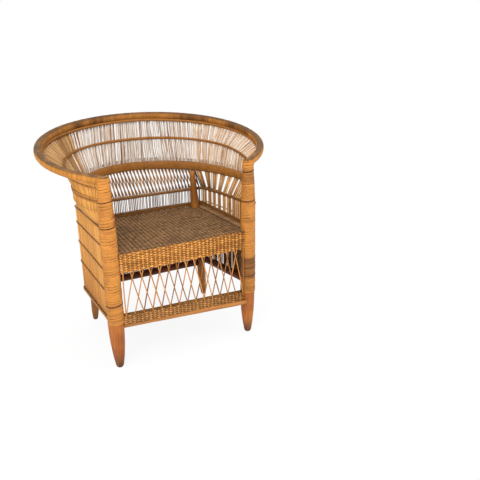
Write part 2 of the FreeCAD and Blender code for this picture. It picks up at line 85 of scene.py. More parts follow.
def last_place(low: float, high: float, holds: Callable[[float], bool]) -> float:
    """Last place between low and high at which a test holds, found by halving.

    Args:
        low: a place where it holds.
        high: a place where it no longer does.
        holds: the test.

    Returns:
        The place.
    """
    for _ in range(HALVINGS):
        middle = (low + high) / 2
        if holds(middle):
            low = middle
        else:
            high = middle
    return low


def stepped(steps: Sequence[Range], place: float) -> float:
    """Value at a place on a line of straight steps.

    Args:
        steps: pairs of place and value, in rising places.
        place: where to read the line.

    Returns:
        The value there, held beyond both ends.
    """
    if place <= steps[0][0]:
        return steps[0][1]
    for (place_low, low), (place_high, high) in zip(steps, steps[1:]):
        if place <= place_high:
            return between(low, high, (place - place_low) / (place_high - place_low))
    return steps[-1][1]


class Layer(Enum):
    """The two layers of reeds in the wall."""

    INNER = -1
    OUTER = 1


class Stretch(Enum):
    """The three stretches of the wall."""

    BACK = "back"
    LEFT = "left"
    RIGHT = "right"


class Trait(Enum):
    """What each point of a strand carries for its finish."""

    TONE = "tone"
    ALONG = "along"
    ACROSS = "across"
    EDGE = "edge"
    SKIN = "skin"
    RISE = "rise"


@dataclass(frozen=True)
class Level:
    """A plane that is level from side to side and rises or falls towards the back."""

    z_middle: float
    slope: float

    def z(self, y: float) -> float:
        """Height of the plane at depth y."""
        return self.z_middle + self.slope * y

    def raised(self, rise: float) -> "Level":
        """The same plane, higher by rise."""
        return Level(self.z_middle + rise, self.slope)


class WallPath:
    """A horseshoe line in plan, from the left front post over the back to the right one."""

    def point(self, u: float, offset: float = 0.0) -> Vector:
        """Plan point at u from -1 to 1, moved out of the wall by offset."""
        raise NotImplementedError

    def out(self, u: float) -> Vector:
        """Direction out of the wall at u.

        Args:
            u: place on the line.

        Returns:
            A level direction of length 1.
        """
        step = 0.004
        run = (self.point(u + step) - self.point(u - step)).normalized()
        return Vector((-run.y, run.x, 0.0))


@dataclass
class RoundPath(WallPath):
    """A superellipse that comes round to the two front posts."""

    half_width: float
    depth: float
    widest: float
    end_x: float
    front_y: float
    power: float = field(init=False)
    end_angle: float = field(init=False)

    def __post_init__(self) -> None:
        """Works out the exponent that takes the line through the front posts."""
        across = self.end_x / self.half_width
        along = self.widest / (self.depth - self.widest)
        self.power = last_place(0.5, 20.0, lambda power: across ** power + along ** power > 1)
        self.end_angle = math.pi / 2 + math.atan2(self.widest, self.end_x)

    def point(self, u: float, offset: float = 0.0) -> Vector:
        """Plan point at a place on the line.

        Args:
            u: place from -1 at the left post to 1 at the right one.
            offset: how far the point is moved out of the wall.

        Returns:
            The point, at height 0.
        """
        angle = u * self.end_angle
        across = abs(math.sin(angle)) / (self.half_width + offset)
        along = abs(math.cos(angle)) / (self.depth - self.widest + offset)
        radius = (across ** self.power + along ** self.power) ** (-1 / self.power)
        return Vector((radius * math.sin(angle), self.front_y + self.widest + radius * math.cos(angle), 0.0))


@dataclass
class BoxPath(WallPath):
    """Straight sides and back, rounded about the rear posts."""

    front: Vector
    corner: Vector
    radius: float

    def point(self, u: float, offset: float = 0.0) -> Vector:
        """Plan point at a place on the line.

        Args:
            u: place from -1 at the left post to 1 at the right one.
            offset: how far the point is moved out of the wall.

        Returns:
            The point, at height 0.
        """
        radius = self.radius + offset
        front = self.front + Vector((offset, 0.0, 0.0))
        run = front - self.corner
        start = math.atan2(run.y, run.x) + math.acos(radius / run.length)
        tangent = self.corner + Vector((math.cos(start), math.sin(start), 0.0)) * radius
        arc = self.radius * (math.pi / 2 - start)
        side = (front - tangent).length
        distance = abs(u) * (self.corner.x + arc + side)
        if distance <= self.corner.x:
            place = Vector((distance, self.corner.y + radius, 0.0))
        elif distance <= self.corner.x + arc:
            turn = math.pi / 2 - (distance - self.corner.x) / self.radius
            place = self.corner + Vector((math.cos(turn), math.sin(turn), 0.0)) * radius
        else:
            place = tangent + (front - tangent) * ((distance - self.corner.x - arc) / side)
        return Vector((math.copysign(place.x, u), place.y, 0.0))


@dataclass
class ChairPlan:
    """Sizes that the pieces share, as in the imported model.

    Pairs of heights are those at the front posts and further back.
    """

    front_x: float = 0.262
    front_y: float = -0.24844
    rear_x: float = 0.248
    rear_y: float = 0.1395
    rear_lean: float = 0.035
    back_y: float = 0.284
    arm_height: float = 0.698
    overall_height: float = 0.818
    half_width: float = 0.423
    rim_section: float = 0.028
    rim_widest: float = 0.436
    upper_heights: Range = (0.657, 0.7046)
    upper_half_width: float = 0.3345
    upper_widest: float = 0.40
    upper_past_post: float = 0.003
    waist_bottom: float = 0.577
    waist_half_width: float = 0.317
    waist_widest: float = 0.316
    waist_past_post: float = 0.011
    waist_past_rim: float = 0.004
    flare_start: float = 0.624
    low_heights: Range = (0.535, 0.500)
    seat_band_heights: Range = (0.468, 0.437)
    inner_seat_band_heights: Range = (0.448, 0.437)
    seat_heights: Range = (0.433, 0.420)
    middle_heights: Range = (0.385, 0.358)
    under_heights: Range = (0.306, 0.273)
    bottom_heights: Range = (0.190, 0.143)
    front_band_left: float = 0.190
    front_band_right: float = 0.168
    reed_fan: float = 0.95
    wall_half: float = 0.00415
    front_wall_offset: float = 0.01965
    rear_wall_offset: float = 0.02655
    wrap: float = 0.002
    leg_top: float = 0.172
    pole: float = 0.015
    front_leg: tuple[Range, ...] = (
        (0.0, 0.0085), (0.002, 0.0108), (0.005, 0.0127), (0.010, 0.0142), (0.043, 0.0198),
        (0.095, 0.0250), (0.135, 0.0267), (0.172, 0.0275), (0.520, 0.0255), (0.609, 0.0220), (0.698, 0.0160),
    )
    rear_leg: tuple[Range, ...] = (
        (0.0, 0.0058), (0.002, 0.0080), (0.005, 0.0096), (0.010, 0.0108), (0.038, 0.0140),
        (0.083, 0.0167), (0.120, 0.0176), (0.150, 0.0180), (0.437, 0.0180), (0.577, 0.0100),
    )

    rim_under: Level = field(init=False)
    waist_low: Level = field(init=False)
    flare: Level = field(init=False)
    upper: Level = field(init=False)
    low: Level = field(init=False)
    seat_band: Level = field(init=False)
    inner_seat_band: Level = field(init=False)
    seat: Level = field(init=False)
    middle: Level = field(init=False)
    under: Level = field(init=False)
    bottom: Level = field(init=False)
    rim_path: RoundPath = field(init=False)
    upper_path: RoundPath = field(init=False)
    waist_path: RoundPath = field(init=False)
    box_path: BoxPath = field(init=False)

    def __post_init__(self) -> None:
        """Works out the planes and the lines in plan."""
        half = self.rim_section / 2
        rim_heights = (self.arm_height - self.rim_section, self.overall_height - self.rim_section)
        self.rim_under = self.level(rim_heights, self.back_y)
        self.waist_low = Level(self.waist_bottom, 0.0)
        self.flare = Level(self.flare_start, 0.0)
        self.upper = self.level(self.upper_heights, self.back_y - half)
        self.low = self.level(self.low_heights, self.rear_y)
        self.seat_band = self.level(self.seat_band_heights, self.rear_y)
        self.inner_seat_band = self.level(self.inner_seat_band_heights, self.rear_y)
        self.seat = self.level(self.seat_heights, self.rear_y)
        self.middle = self.level(self.middle_heights, self.rear_y)
        self.under = self.level(self.under_heights, self.rear_y)
        self.bottom = self.level(self.bottom_heights, self.rear_y)
        depth = self.back_y - half - self.front_y
        self.rim_path = self.round_path(self.half_width - half, depth, self.rim_widest, 0.0)
        self.upper_path = self.round_path(
            self.upper_half_width, depth, self.upper_widest, self.upper_past_post
        )
        self.waist_path = self.round_path(
            self.waist_half_width, depth + self.waist_past_rim, self.waist_widest, self.waist_past_post
        )
        front = Vector((self.front_x + self.front_wall_offset, self.front_y, 0.0))
        self.box_path = BoxPath(front, Vector((self.rear_x, self.rear_y, 0.0)), self.rear_wall_offset)

    def level(self, heights: Range, y_back: float) -> Level:
        """Plane through a height at the front posts and one further back.

        Args:
            heights: the two heights.
            y_back: depth at which the second holds.

        Returns:
            The plane.
        """
        slope = (heights[1] - heights[0]) / (y_back - self.front_y)
        return Level(heights[0] - self.front_y * slope, slope)

    def round_path(self, half_width: float, depth: float, widest: float, past_post: float) -> RoundPath:
        """Round line in plan that starts and ends beside the front posts.

        Args:
            half_width: half its width.
            depth: its depth from the posts to the back.
            widest: share of the depth at which it is widest.
            past_post: how far outside the posts' axes it ends.

        Returns:
            The line.
        """
        return RoundPath(half_width, depth, widest * depth, self.front_x + past_post, self.front_y)

    def front_band(self, x: float) -> float:
        """Middle height of the lower front band, which falls to the right."""
        return between(self.front_band_left, self.front_band_right, (x + self.front_x) / (2 * self.front_x))

    def depth_share(self, y: float) -> float:
        """Share of the way from the front posts to the rear ones at depth y."""
        return (y - self.front_y) / (self.rear_y - self.front_y)

    def rear_axis(self, z: float) -> float:
        """Distance of a rear post's axis from the middle of the chair at height z."""
        return self.rear_x - self.rear_lean * z / self.waist_bottom

    def post_radius(self, z: float) -> float:
        """Radius of a front post in its winding at height z."""
        return stepped(self.front_leg, z) + self.wrap


PLAN = ChairPlan()


class Graph:
    """A material under construction, with short calls for the nodes that the finishes use."""

    def __init__(self, name: str) -> None:
        """Starts an empty node material.

        Args:
            name: the material's name.
        """
        self.material = bpy.data.materials.new(name)
        self.material.use_nodes = True
        self.nodes = self.material.node_tree.nodes
        self.links = self.material.node_tree.links
        self.nodes.clear()

    def add(self, kind: str, **settings: object) -> bpy.types.Node:
        """A new node with some of its settings.

        Args:
            kind: the node's type name.
            settings: attribute values of the node.

        Returns:
            The node.
        """
        node = self.nodes.new(kind)
        for name, value in settings.items():
            setattr(node, name, value)
        return node

    def feed(self, socket: bpy.types.NodeSocket, value: object) -> None:
        """Links a socket to the value, or writes the value on it.

        Args:
            socket: an input.
            value: an output socket, a number or a colour.
        """
        if isinstance(value, bpy.types.NodeSocket):
            self.links.new(value, socket)
        else:
            socket.default_value = value

    def trait(self, trait: Trait) -> bpy.types.NodeSocket:
        """What the strand's points carry under that name."""
        return self.add("ShaderNodeAttribute", attribute_name=trait.value).outputs["Fac"]

    def sum(self, kind: str, *values: object) -> bpy.types.NodeSocket:
        """Result of a sum of the named kind, clamped to 0 and 1 where the kind says so.

        Args:
            kind: the operation, with a trailing + for a clamped result.
            values: sockets or numbers.

        Returns:
            The result.
        """
        node = self.add("ShaderNodeMath", operation=kind.rstrip("+"), use_clamp=kind.endswith("+"))
        for socket, value in zip(node.inputs, values):
            self.feed(socket, value)
        return node.outputs[0]

    def span(self, value: object, span: Range) -> bpy.types.NodeSocket:
        """Smooth step of a value.

        Args:
            value: socket or number.
            span: the values at which the result is 0 and 1.

        Returns:
            The result.
        """
        node = self.add("ShaderNodeMapRange", interpolation_type="SMOOTHSTEP")
        self.feed(node.inputs["Value"], value)
        node.inputs["From Min"].default_value, node.inputs["From Max"].default_value = span
        return node.outputs["Result"]

    def mix(self, share: object, low: object, high: object) -> bpy.types.NodeSocket:
        """Mix of two colours.

        Args:
            share: how much of the second colour.
            low: first colour or socket.
            high: second colour or socket.

        Returns:
            The mixed colour.
        """
        node = self.add("ShaderNodeMix", data_type="RGBA")
        for place, value in ((0, share), (6, low), (7, high)):
            self.feed(node.inputs[place], value)
        return node.outputs[2]

    def blend(self, share: object, colours: Colours) -> bpy.types.NodeSocket:
        """Mix of two screen colours."""
        return self.mix(share, linear(colours[0]), linear(colours[1]))

    def tint(self, colour: object, share: object, depth: float, tint: Colour) -> bpy.types.NodeSocket:
        """A colour that a share of some depth takes towards a tint."""
        return self.mix(self.sum("MULTIPLY", share, depth), colour, linear(tint))

    def split(self, vector: object) -> bpy.types.NodeOutputs:
        """The three parts of a vector.

        Args:
            vector: socket.

        Returns:
            The sockets of x, y and z.
        """
        node = self.add("ShaderNodeSeparateXYZ")
        self.feed(node.inputs[0], vector)
        return node.outputs

    def noise(self, vector: object, scale: float, detail: float = 3.0) -> bpy.types.NodeSocket:
        """Value of a noise.

        Args:
            vector: where it is read.
            scale: periods to a unit of the vector.
            detail: how many finer noises are added.

        Returns:
            The value from 0 to 1.
        """
        node = self.add("ShaderNodeTexNoise")
        self.feed(node.inputs["Vector"], vector)
        node.inputs["Scale"].default_value = scale
        node.inputs["Detail"].default_value = detail
        return node.outputs["Fac"]

    def place(self) -> bpy.types.NodeSocket:
        """Object coordinates."""
        return self.add("ShaderNodeTexCoord").outputs["Object"]

    def strand_place(self, stretch: float, fine: float) -> bpy.types.NodeSocket:
        """Coordinates that run with a strand, different on each strand.

        Args:
            stretch: periods per metre along the strand.
            fine: periods per metre across it.

        Returns:
            A vector for a noise of scale 1.
        """
        strand_apart = 97.0
        node = self.add("ShaderNodeCombineXYZ")
        parts = ((Trait.ALONG, stretch), (Trait.ACROSS, fine), (Trait.TONE, strand_apart))
        for socket, (trait, scale) in zip(node.inputs, parts):
            self.feed(socket, self.sum("MULTIPLY", self.trait(trait), scale))
        return node.outputs[0]

    def close(
        self, colour: object, roughness: object, height: object, bump: float, sheen: float
    ) -> bpy.types.Material:
        """Ends the material in a shader.

        Args:
            colour: base colour.
            roughness: roughness, or a socket that gives it.
            height: height for the bump.
            bump: depth of the bump in metres.
            sheen: specular level.

        Returns:
            The material.
        """
        shader = self.add("ShaderNodeBsdfPrincipled")
        self.feed(shader.inputs["Base Color"], colour)
        self.feed(shader.inputs["Roughness"], roughness)
        shader.inputs["Specular IOR Level"].default_value = sheen
        strength = 0.6
        relief = self.add("ShaderNodeBump")
        relief.inputs["Strength"].default_value = strength
        relief.inputs["Distance"].default_value = bump
        self.feed(relief.inputs["Height"], height)
        self.links.new(relief.outputs["Normal"], shader.inputs["Normal"])
        output = self.add("ShaderNodeOutputMaterial")
        self.links.new(shader.outputs[0], output.inputs["Surface"])
        return self.material


@dataclass(frozen=True)
class CaneFinish:
    """Finish of split or wound cane: fibres along the strand, its own tone, seams darkened partly as dirt and
    partly as painted shade.

    A span holds the values at which a share is none and whole.
    """

    name: str
    dark: Colour
    light: Colour
    seam: Colour
    inside: Optional[Colours] = None
    under_seat_shade: Optional[Colour] = None
    weather: Optional[Colours] = None
    seam_start: float = 0.72
    seam_depth: float = 0.85
    seam_breaks: float = 0.0
    break_scale: float = 75.0
    break_span: Range = (0.40, 0.62)
    stain: Colour = (110, 72, 32)
    stain_depth: float = 0.30
    stain_scale: float = 14.0
    stain_span: Range = (0.48, 0.72)
    fibre_depth: float = 0.30
    fibre_stretch: float = 18.0
    fibre_fine: float = 900.0
    fibre_span: Range = (0.72, 0.34)
    outer_span: Range = (-0.3, 0.3)
    inner_span: Range = (0.3, -0.3)
    under_seat_shade_span: Range = (0.43, 0.40)
    under_seat_shade_depth: float = 0.9
    ground_span: Range = (-0.1, -0.6)
    top_span: Range = (0.30, 0.75)
    back_span: Range = (0.02, 0.16)
    patch_scale: float = 30.0
    patch_span: Range = (0.25, 0.60)
    patch_depth: float = 0.4
    patch_least: float = 0.55
    roughness: float = 0.55
    fibre_roughness: float = 0.15
    bump: float = 0.0006
    sheen: float = 0.22

    def build(self) -> bpy.types.Material:
        """Makes the material.

        Returns:
            The material.
        """
        graph = Graph(self.name)
        tone = graph.trait(Trait.TONE)
        skin = graph.trait(Trait.SKIN)
        colour = graph.blend(tone, (self.dark, self.light))
        if self.inside:
            colour = graph.mix(graph.span(skin, self.outer_span), graph.blend(tone, self.inside), colour)
        stain = graph.span(graph.noise(graph.place(), self.stain_scale, 4.0), self.stain_span)
        colour = graph.tint(colour, stain, self.stain_depth, self.stain)
        fibre = graph.noise(graph.strand_place(self.fibre_stretch, self.fibre_fine), 1.0)
        shade = graph.span(fibre, self.fibre_span)
        colour = graph.tint(colour, shade, self.fibre_depth, self.seam)
        # Painted shade: below the seat the inner face of the reeds is darkened towards a shade colour.
        if self.under_seat_shade:
            low = graph.span(graph.split(graph.place())[2], self.under_seat_shade_span)
            seat_shade_mask = graph.sum("MULTIPLY", low, graph.span(skin, self.inner_span))
            colour = graph.tint(colour, seat_shade_mask, self.under_seat_shade_depth, self.under_seat_shade)
        if self.weather:
            colour = self.worn(graph, colour)
        # Seams at the strand's edges: partly dirt, partly painted shade in the creases between strands.
        seam = graph.span(graph.trait(Trait.EDGE), (self.seam_start, 1.0))
        if self.seam_breaks:
            gaps = graph.span(graph.noise(graph.place(), self.break_scale, 2.0), self.break_span)
            kept = graph.sum("SUBTRACT", 1.0, graph.sum("MULTIPLY", gaps, self.seam_breaks))
            seam = graph.sum("MULTIPLY", seam, kept)
        colour = graph.tint(colour, seam, self.seam_depth, self.seam)
        # Tones below 0 go to the seam colour: the dark rings on the posts and the sheet of painted shade
        # behind the weaves.
        colour = graph.mix(graph.span(tone, self.ground_span), colour, linear(self.seam))
        rough = graph.sum("ADD+", graph.sum("MULTIPLY", shade, self.fibre_roughness), self.roughness)
        return graph.close(colour, rough, fibre, self.bump, self.sheen)

    def worn(self, graph: Graph, colour: bpy.types.NodeSocket) -> bpy.types.NodeSocket:
        """Greys what looks up, in one colour on the arms and in another on the back.

        Args:
            graph: the material under construction.
            colour: its colour so far.

        Returns:
            The greyed colour.
        """
        top = graph.span(graph.trait(Trait.RISE), self.top_span)
        back = graph.span(graph.split(graph.place())[1], self.back_span)
        patchy = graph.span(graph.noise(graph.place(), self.patch_scale, 4.0), self.patch_span)
        depth = graph.sum("ADD+", graph.sum("MULTIPLY", patchy, self.patch_depth), self.patch_least)
        return graph.mix(graph.sum("MULTIPLY", top, depth), colour, graph.blend(back, self.weather))


@dataclass(frozen=True)
class ReedFinish(CaneFinish):
    """Finish of split reed, with long fine fibres and broad stains."""

    seam_start: float = 0.84
    seam_depth: float = 0.5
    stain: Colour = (180, 122, 62)
    stain_depth: float = 0.35
    stain_scale: float = 7.0
    fibre_stretch: float = 7.0
    fibre_fine: float = 1300.0


@dataclass(frozen=True)
class BandFinish(CaneFinish):
    """Finish of a band or a hoop, with coarse fibres."""

    seam: Colour = (70, 42, 18)
    seam_start: float = 0.86
    stain_depth: float = 0.4
    stain_scale: float = 40.0
    fibre_stretch: float = 30.0
    fibre_fine: float = 420.0


@dataclass(frozen=True)
class WeaveFinish(CaneFinish):
    """Finish of the front weaves, with short fibres and soft seams."""

    seam_start: float = 0.80
    seam_depth: float = 0.6
    stain_scale: float = 12.0
    fibre_stretch: float = 40.0


@dataclass(frozen=True)
class PoleFinish:
    """Finish of a peeled pole: long grain, broad patches of darker wood and a dirty foot."""

    name: str
    dark: Colour
    light: Colour
    foot: Colour
    foot_top: float = 0.06
    foot_depth: float = 0.9
    foot_least: float = 0.35
    foot_span: Range = (0.3, 0.6)
    grain_depth: float = 0.30
    grain_stretch: float = 5.0
    grain_fine: float = 260.0
    grain_span: Range = (0.62, 0.36)
    broad_scale: float = 9.0
    broad_span: Range = (0.36, 0.64)
    roughness: float = 0.50
    bump: float = 0.0008
    sheen: float = 0.25

    def build(self) -> bpy.types.Material:
        """Makes the material.

        Returns:
            The material.
        """
        graph = Graph(self.name)
        grain = graph.noise(graph.strand_place(self.grain_stretch, self.grain_fine), 1.0, 4.0)
        broad = graph.span(graph.noise(graph.place(), self.broad_scale), self.broad_span)
        colour = graph.blend(broad, (self.dark, self.light))
        colour = graph.tint(colour, graph.span(grain, self.grain_span), self.grain_depth, self.foot)
        tip = graph.span(graph.split(graph.place())[2], (self.foot_top, 0.0))
        bottom_darkening = graph.sum("ADD+", graph.span(grain, self.foot_span), self.foot_least)
        colour = graph.tint(colour, graph.sum("MULTIPLY", tip, bottom_darkening), self.foot_depth, self.foot)
        return graph.close(colour, self.roughness, grain, self.bump, self.sheen)


class Strands:
    """A mesh of canes, each swept along its own line."""

    def __init__(self, name: str) -> None:
        """Starts an empty mesh with a layer for each trait.

        Args:
            name: the piece's name.
        """
        self.name = name
        self.mesh = bmesh.new()
        self.layers = {trait: self.mesh.verts.layers.float.new(trait.value) for trait in Trait}

    def sweep(
        self,
        line: Sequence[Vector],
        outs: Sequence[Vector],
        half_width: float | Sequence[float],
        half_height: float | Sequence[float],
        tone: float | Sequence[float],
        sides: int = 6,
        square: float = 1.0,
    ) -> None:
        """Adds one cane along a line.

        Args:
            line: centres of the cane, from end to end.
            outs: direction at each centre that the cane's outer face looks in.
            half_width: half its width across that direction, one number or one for each centre.
            half_height: half its thickness, one number or one for each centre.
            tone: its tone from 0 dark to 1 light, one number or one for each centre.
            sides: sides of its section.
            square: below 1 the section grows from an ellipse towards a rectangle.
        """
        last = len(line) - 1
        grid = bmesh.ops.create_grid(self.mesh, x_segments=last, y_segments=sides, size=1.0)
        frames = []
        travelled = 0.0
        for i, centre in enumerate(line):
            run = (line[min(i + 1, last)] - line[max(i - 1, 0)]).normalized()
            side = outs[i].cross(run).normalized()
            out = run.cross(side).normalized()
            if i:
                travelled += (centre - line[i - 1]).length
            wide = half_width if isinstance(half_width, float) else half_width[i]
            high = half_height if isinstance(half_height, float) else half_height[i]
            shade = tone if isinstance(tone, float) else tone[i]
            frames.append((centre, side * wide, out * high, wide, travelled, shade, outs[i].z))
        for vert in grid["verts"]:
            i = round((vert.co.x + 1) / 2 * last)
            turn = 2 * math.pi * round((vert.co.y + 1) / 2 * sides) / sides - math.pi / 2
            across, rise = math.cos(turn), math.sin(turn)
            centre, side, out, wide, along, shade, looks_up = frames[i]
            reach = math.copysign(abs(across) ** square, across)
            lift = math.copysign(abs(rise) ** square, rise)
            vert.co = centre + side * reach + out * lift
            vert[self.layers[Trait.TONE]] = shade
            vert[self.layers[Trait.ALONG]] = along
            vert[self.layers[Trait.ACROSS]] = wide * reach
            vert[self.layers[Trait.EDGE]] = abs(reach)
            vert[self.layers[Trait.SKIN]] = lift
            vert[self.layers[Trait.RISE]] = looks_up

    def dress(self, slot: str, finish: bpy.types.Material, *nodes: str) -> None:
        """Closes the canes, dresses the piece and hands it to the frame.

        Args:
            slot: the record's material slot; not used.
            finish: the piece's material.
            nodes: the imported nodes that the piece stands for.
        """
        merge = 1e-6
        bmesh.ops.remove_doubles(self.mesh, verts=self.mesh.verts, dist=merge)
        bmesh.ops.holes_fill(self.mesh, edges=self.mesh.edges, sides=0)
        bmesh.ops.recalc_face_normals(self.mesh, faces=self.mesh.faces)
        for face in self.mesh.faces:
            face.smooth = True
        data = bpy.data.meshes.new(self.name)
        self.mesh.to_mesh(data)
        self.mesh.free()
        data.materials.append(finish)
        piece = bpy.data.objects.new(self.name, data)
        bpy.context.scene.collection.objects.link(piece)
        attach(piece, BODY)
        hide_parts(*nodes)
        log.info("%s: %d faces, for %s", self.name, len(data.polygons), ", ".join(nodes))


@dataclass
class Posts:
    """The four posts of peeled pole."""

    sides: int = 20
    steps: int = 26
    least_step: float = 0.0012
    wander: float = 0.0012
    wander_waves: float = 9.0
    wander_back: float = -0.6
    wander_start: float = 0.05
    knots: float = 0.012
    knot_waves: float = 31.0
    seed: int = 11

    def build(self) -> None:
        """Models the posts and dresses them."""
        draw = random.Random(self.seed)
        front = PoleFinish(
            "front_leg_wood", (154, 84, 32), (186, 110, 45), (64, 38, 24), foot_top=0.085
        ).build()
        rear = PoleFinish("rear_post_wood", (140, 86, 32), (178, 114, 48), (100, 62, 34)).build()
        for side, name in SIDES:
            foot = Vector((side * PLAN.front_x, PLAN.front_y, 0.0))
            head = foot + UP * PLAN.rim_under.z(PLAN.front_y)
            strands = self.post("front_%s_leg" % name, foot, head, PLAN.front_leg, draw)
            strands.dress("post_wood", front, "front_%s_post" % name)
            foot = Vector((side * PLAN.rear_x, PLAN.rear_y, 0.0))
            head = Vector((side * PLAN.rear_axis(PLAN.waist_bottom), PLAN.rear_y, PLAN.waist_bottom))
            strands = self.post("rear_%s_leg" % name, foot, head, PLAN.rear_leg, draw)
            strands.dress("post_wood", rear, "rear_%s_post" % name)

    def post(
        self, name: str, foot: Vector, head: Vector, outline: Sequence[Range], draw: random.Random
    ) -> Strands:
        """Models one post.

        Args:
            name: the piece's name.
            foot: where its axis meets the floor.
            head: where its axis ends.
            outline: heights and radii.
            draw: source of its small bends.

        Returns:
            The post's mesh.
        """
        top = head.z
        even = {top * i / self.steps for i in range(self.steps + 1)}
        heights = sorted({z for z, _ in outline if z < top} | even)
        heights = [z for i, z in enumerate(heights) if i == 0 or z - heights[i - 1] > self.least_step]
        phase = draw.uniform(*PHASES)
        line, radii = [], []
        for z in heights:
            lean = self.wander * math.sin(self.wander_waves * z + phase) * min(1.0, z / self.wander_start)
            line.append(foot.lerp(head, z / top) + Vector((lean, lean * self.wander_back, 0.0)))
            radii.append(stepped(outline, z) * (1 + self.knots * math.sin(self.knot_waves * z + phase)))
        strands = Strands(name)
        strands.sweep(line, [FRONT] * len(line), radii, radii, draw.random(), self.sides)
        return strands


@dataclass
class Rails:
    """The round poles between the posts, and the stakes under the seat."""

    sides: int = 16
    steps: int = 8
    wander: float = 0.0012
    wander_waves: float = 5.0
    swell: float = 0.02
    swell_waves: float = 9.0
    inset: float = 0.0155
    rear_stretcher: float = 0.160
    side_stretcher: Range = (0.222, 0.186)
    stake: float = 0.005
    stake_pitch: float = 0.038
    stake_count: int = 5
    seat_thickness: float = 0.009
    seed: int = 23

    def build(self) -> None:
        """Models the poles and dresses them."""
        draw = random.Random(self.seed)
        # The bare poles sit in the shade under the seat, and their colour is darkened to that painted shade.
        shaded_bare = PoleFinish("pole_wood", (78, 28, 10), (110, 50, 18), (52, 20, 8), foot_top=0.001).build()
        bound = PoleFinish(
            "bound_pole_wood", (134, 88, 42), (168, 116, 60), (96, 60, 30), foot_top=0.001
        ).build()
        for node, (start, end) in self.runs().items():
            strands = Strands(node + "_pole")
            self.pole(strands, Vector(start), Vector(end), PLAN.pole, draw)
            strands.dress("pole_wood", bound if node == "front_stretcher" else shaded_bare, node)
        stakes = Strands("seat_stake_canes")
        under = PLAN.seat.raised(-self.seat_thickness - self.stake)
        past = PLAN.pole + self.inset
        for i in range(-self.stake_count, self.stake_count + 1):
            ends = (PLAN.front_y - past, PLAN.rear_y + past)
            start, end = [Vector((i * self.stake_pitch, y, under.z(y))) for y in ends]
            self.pole(stakes, start, end, self.stake, draw)
        stakes.dress("pole_wood", shaded_bare, "seat_stakes")

    def runs(self) -> dict[str, tuple[Sequence[float], Sequence[float]]]:
        """Axis of each pole.

        Returns:
            The two ends by node.
        """
        front, rear = PLAN.front_y, PLAN.rear_y
        drop = self.seat_thickness + 2 * self.stake + PLAN.pole
        rail_front, rail_rear = PLAN.seat.z(front) - drop, PLAN.seat.z(rear) - drop
        left, right = PLAN.front_band_left, PLAN.front_band_right
        low = self.rear_stretcher
        front_x, rail_x, low_x = PLAN.front_x, PLAN.rear_axis(rail_rear), PLAN.rear_axis(low)
        runs = {
            "front_seat_rail": ((-front_x, front, rail_front), (front_x, front, rail_front)),
            "rear_seat_rail": ((-rail_x, rear, rail_rear), (rail_x, rear, rail_rear)),
            "front_stretcher": ((-front_x, front, left), (front_x, front, right)),
            "rear_stretcher": ((-low_x, rear, low), (low_x, rear, low)),
        }
        near, far = self.side_stretcher
        for side, name in SIDES:
            start = side * front_x
            runs["%s_seat_rail" % name] = ((start, front, rail_front), (side * rail_x, rear, rail_rear))
            runs["%s_stretcher" % name] = ((start, front, near), (side * PLAN.rear_axis(far), rear, far))
        return runs

    def pole(self, strands: Strands, start: Vector, end: Vector, radius: float, draw: random.Random) -> None:
        """Adds a pole from axis to axis, short of them by the inset.

        Args:
            strands: the mesh it goes into.
            start: axis point at one end.
            end: axis point at the other.
            radius: its radius.
            draw: source of its small bends.
        """
        run = (end - start).normalized()
        start, end = start + run * self.inset, end - run * self.inset
        phase = draw.uniform(*PHASES)
        line, radii = [], []
        for i in range(self.steps + 1):
            share = i / self.steps
            sway = self.wander * math.sin(self.wander_waves * share + phase) * math.sin(math.pi * share)
            line.append(start.lerp(end, share) + UP * sway)
            radii.append(radius * (1 + self.swell * math.sin(self.swell_waves * share + phase)))
        strands.sweep(line, [UP] * len(line), radii, radii, draw.random(), self.sides)


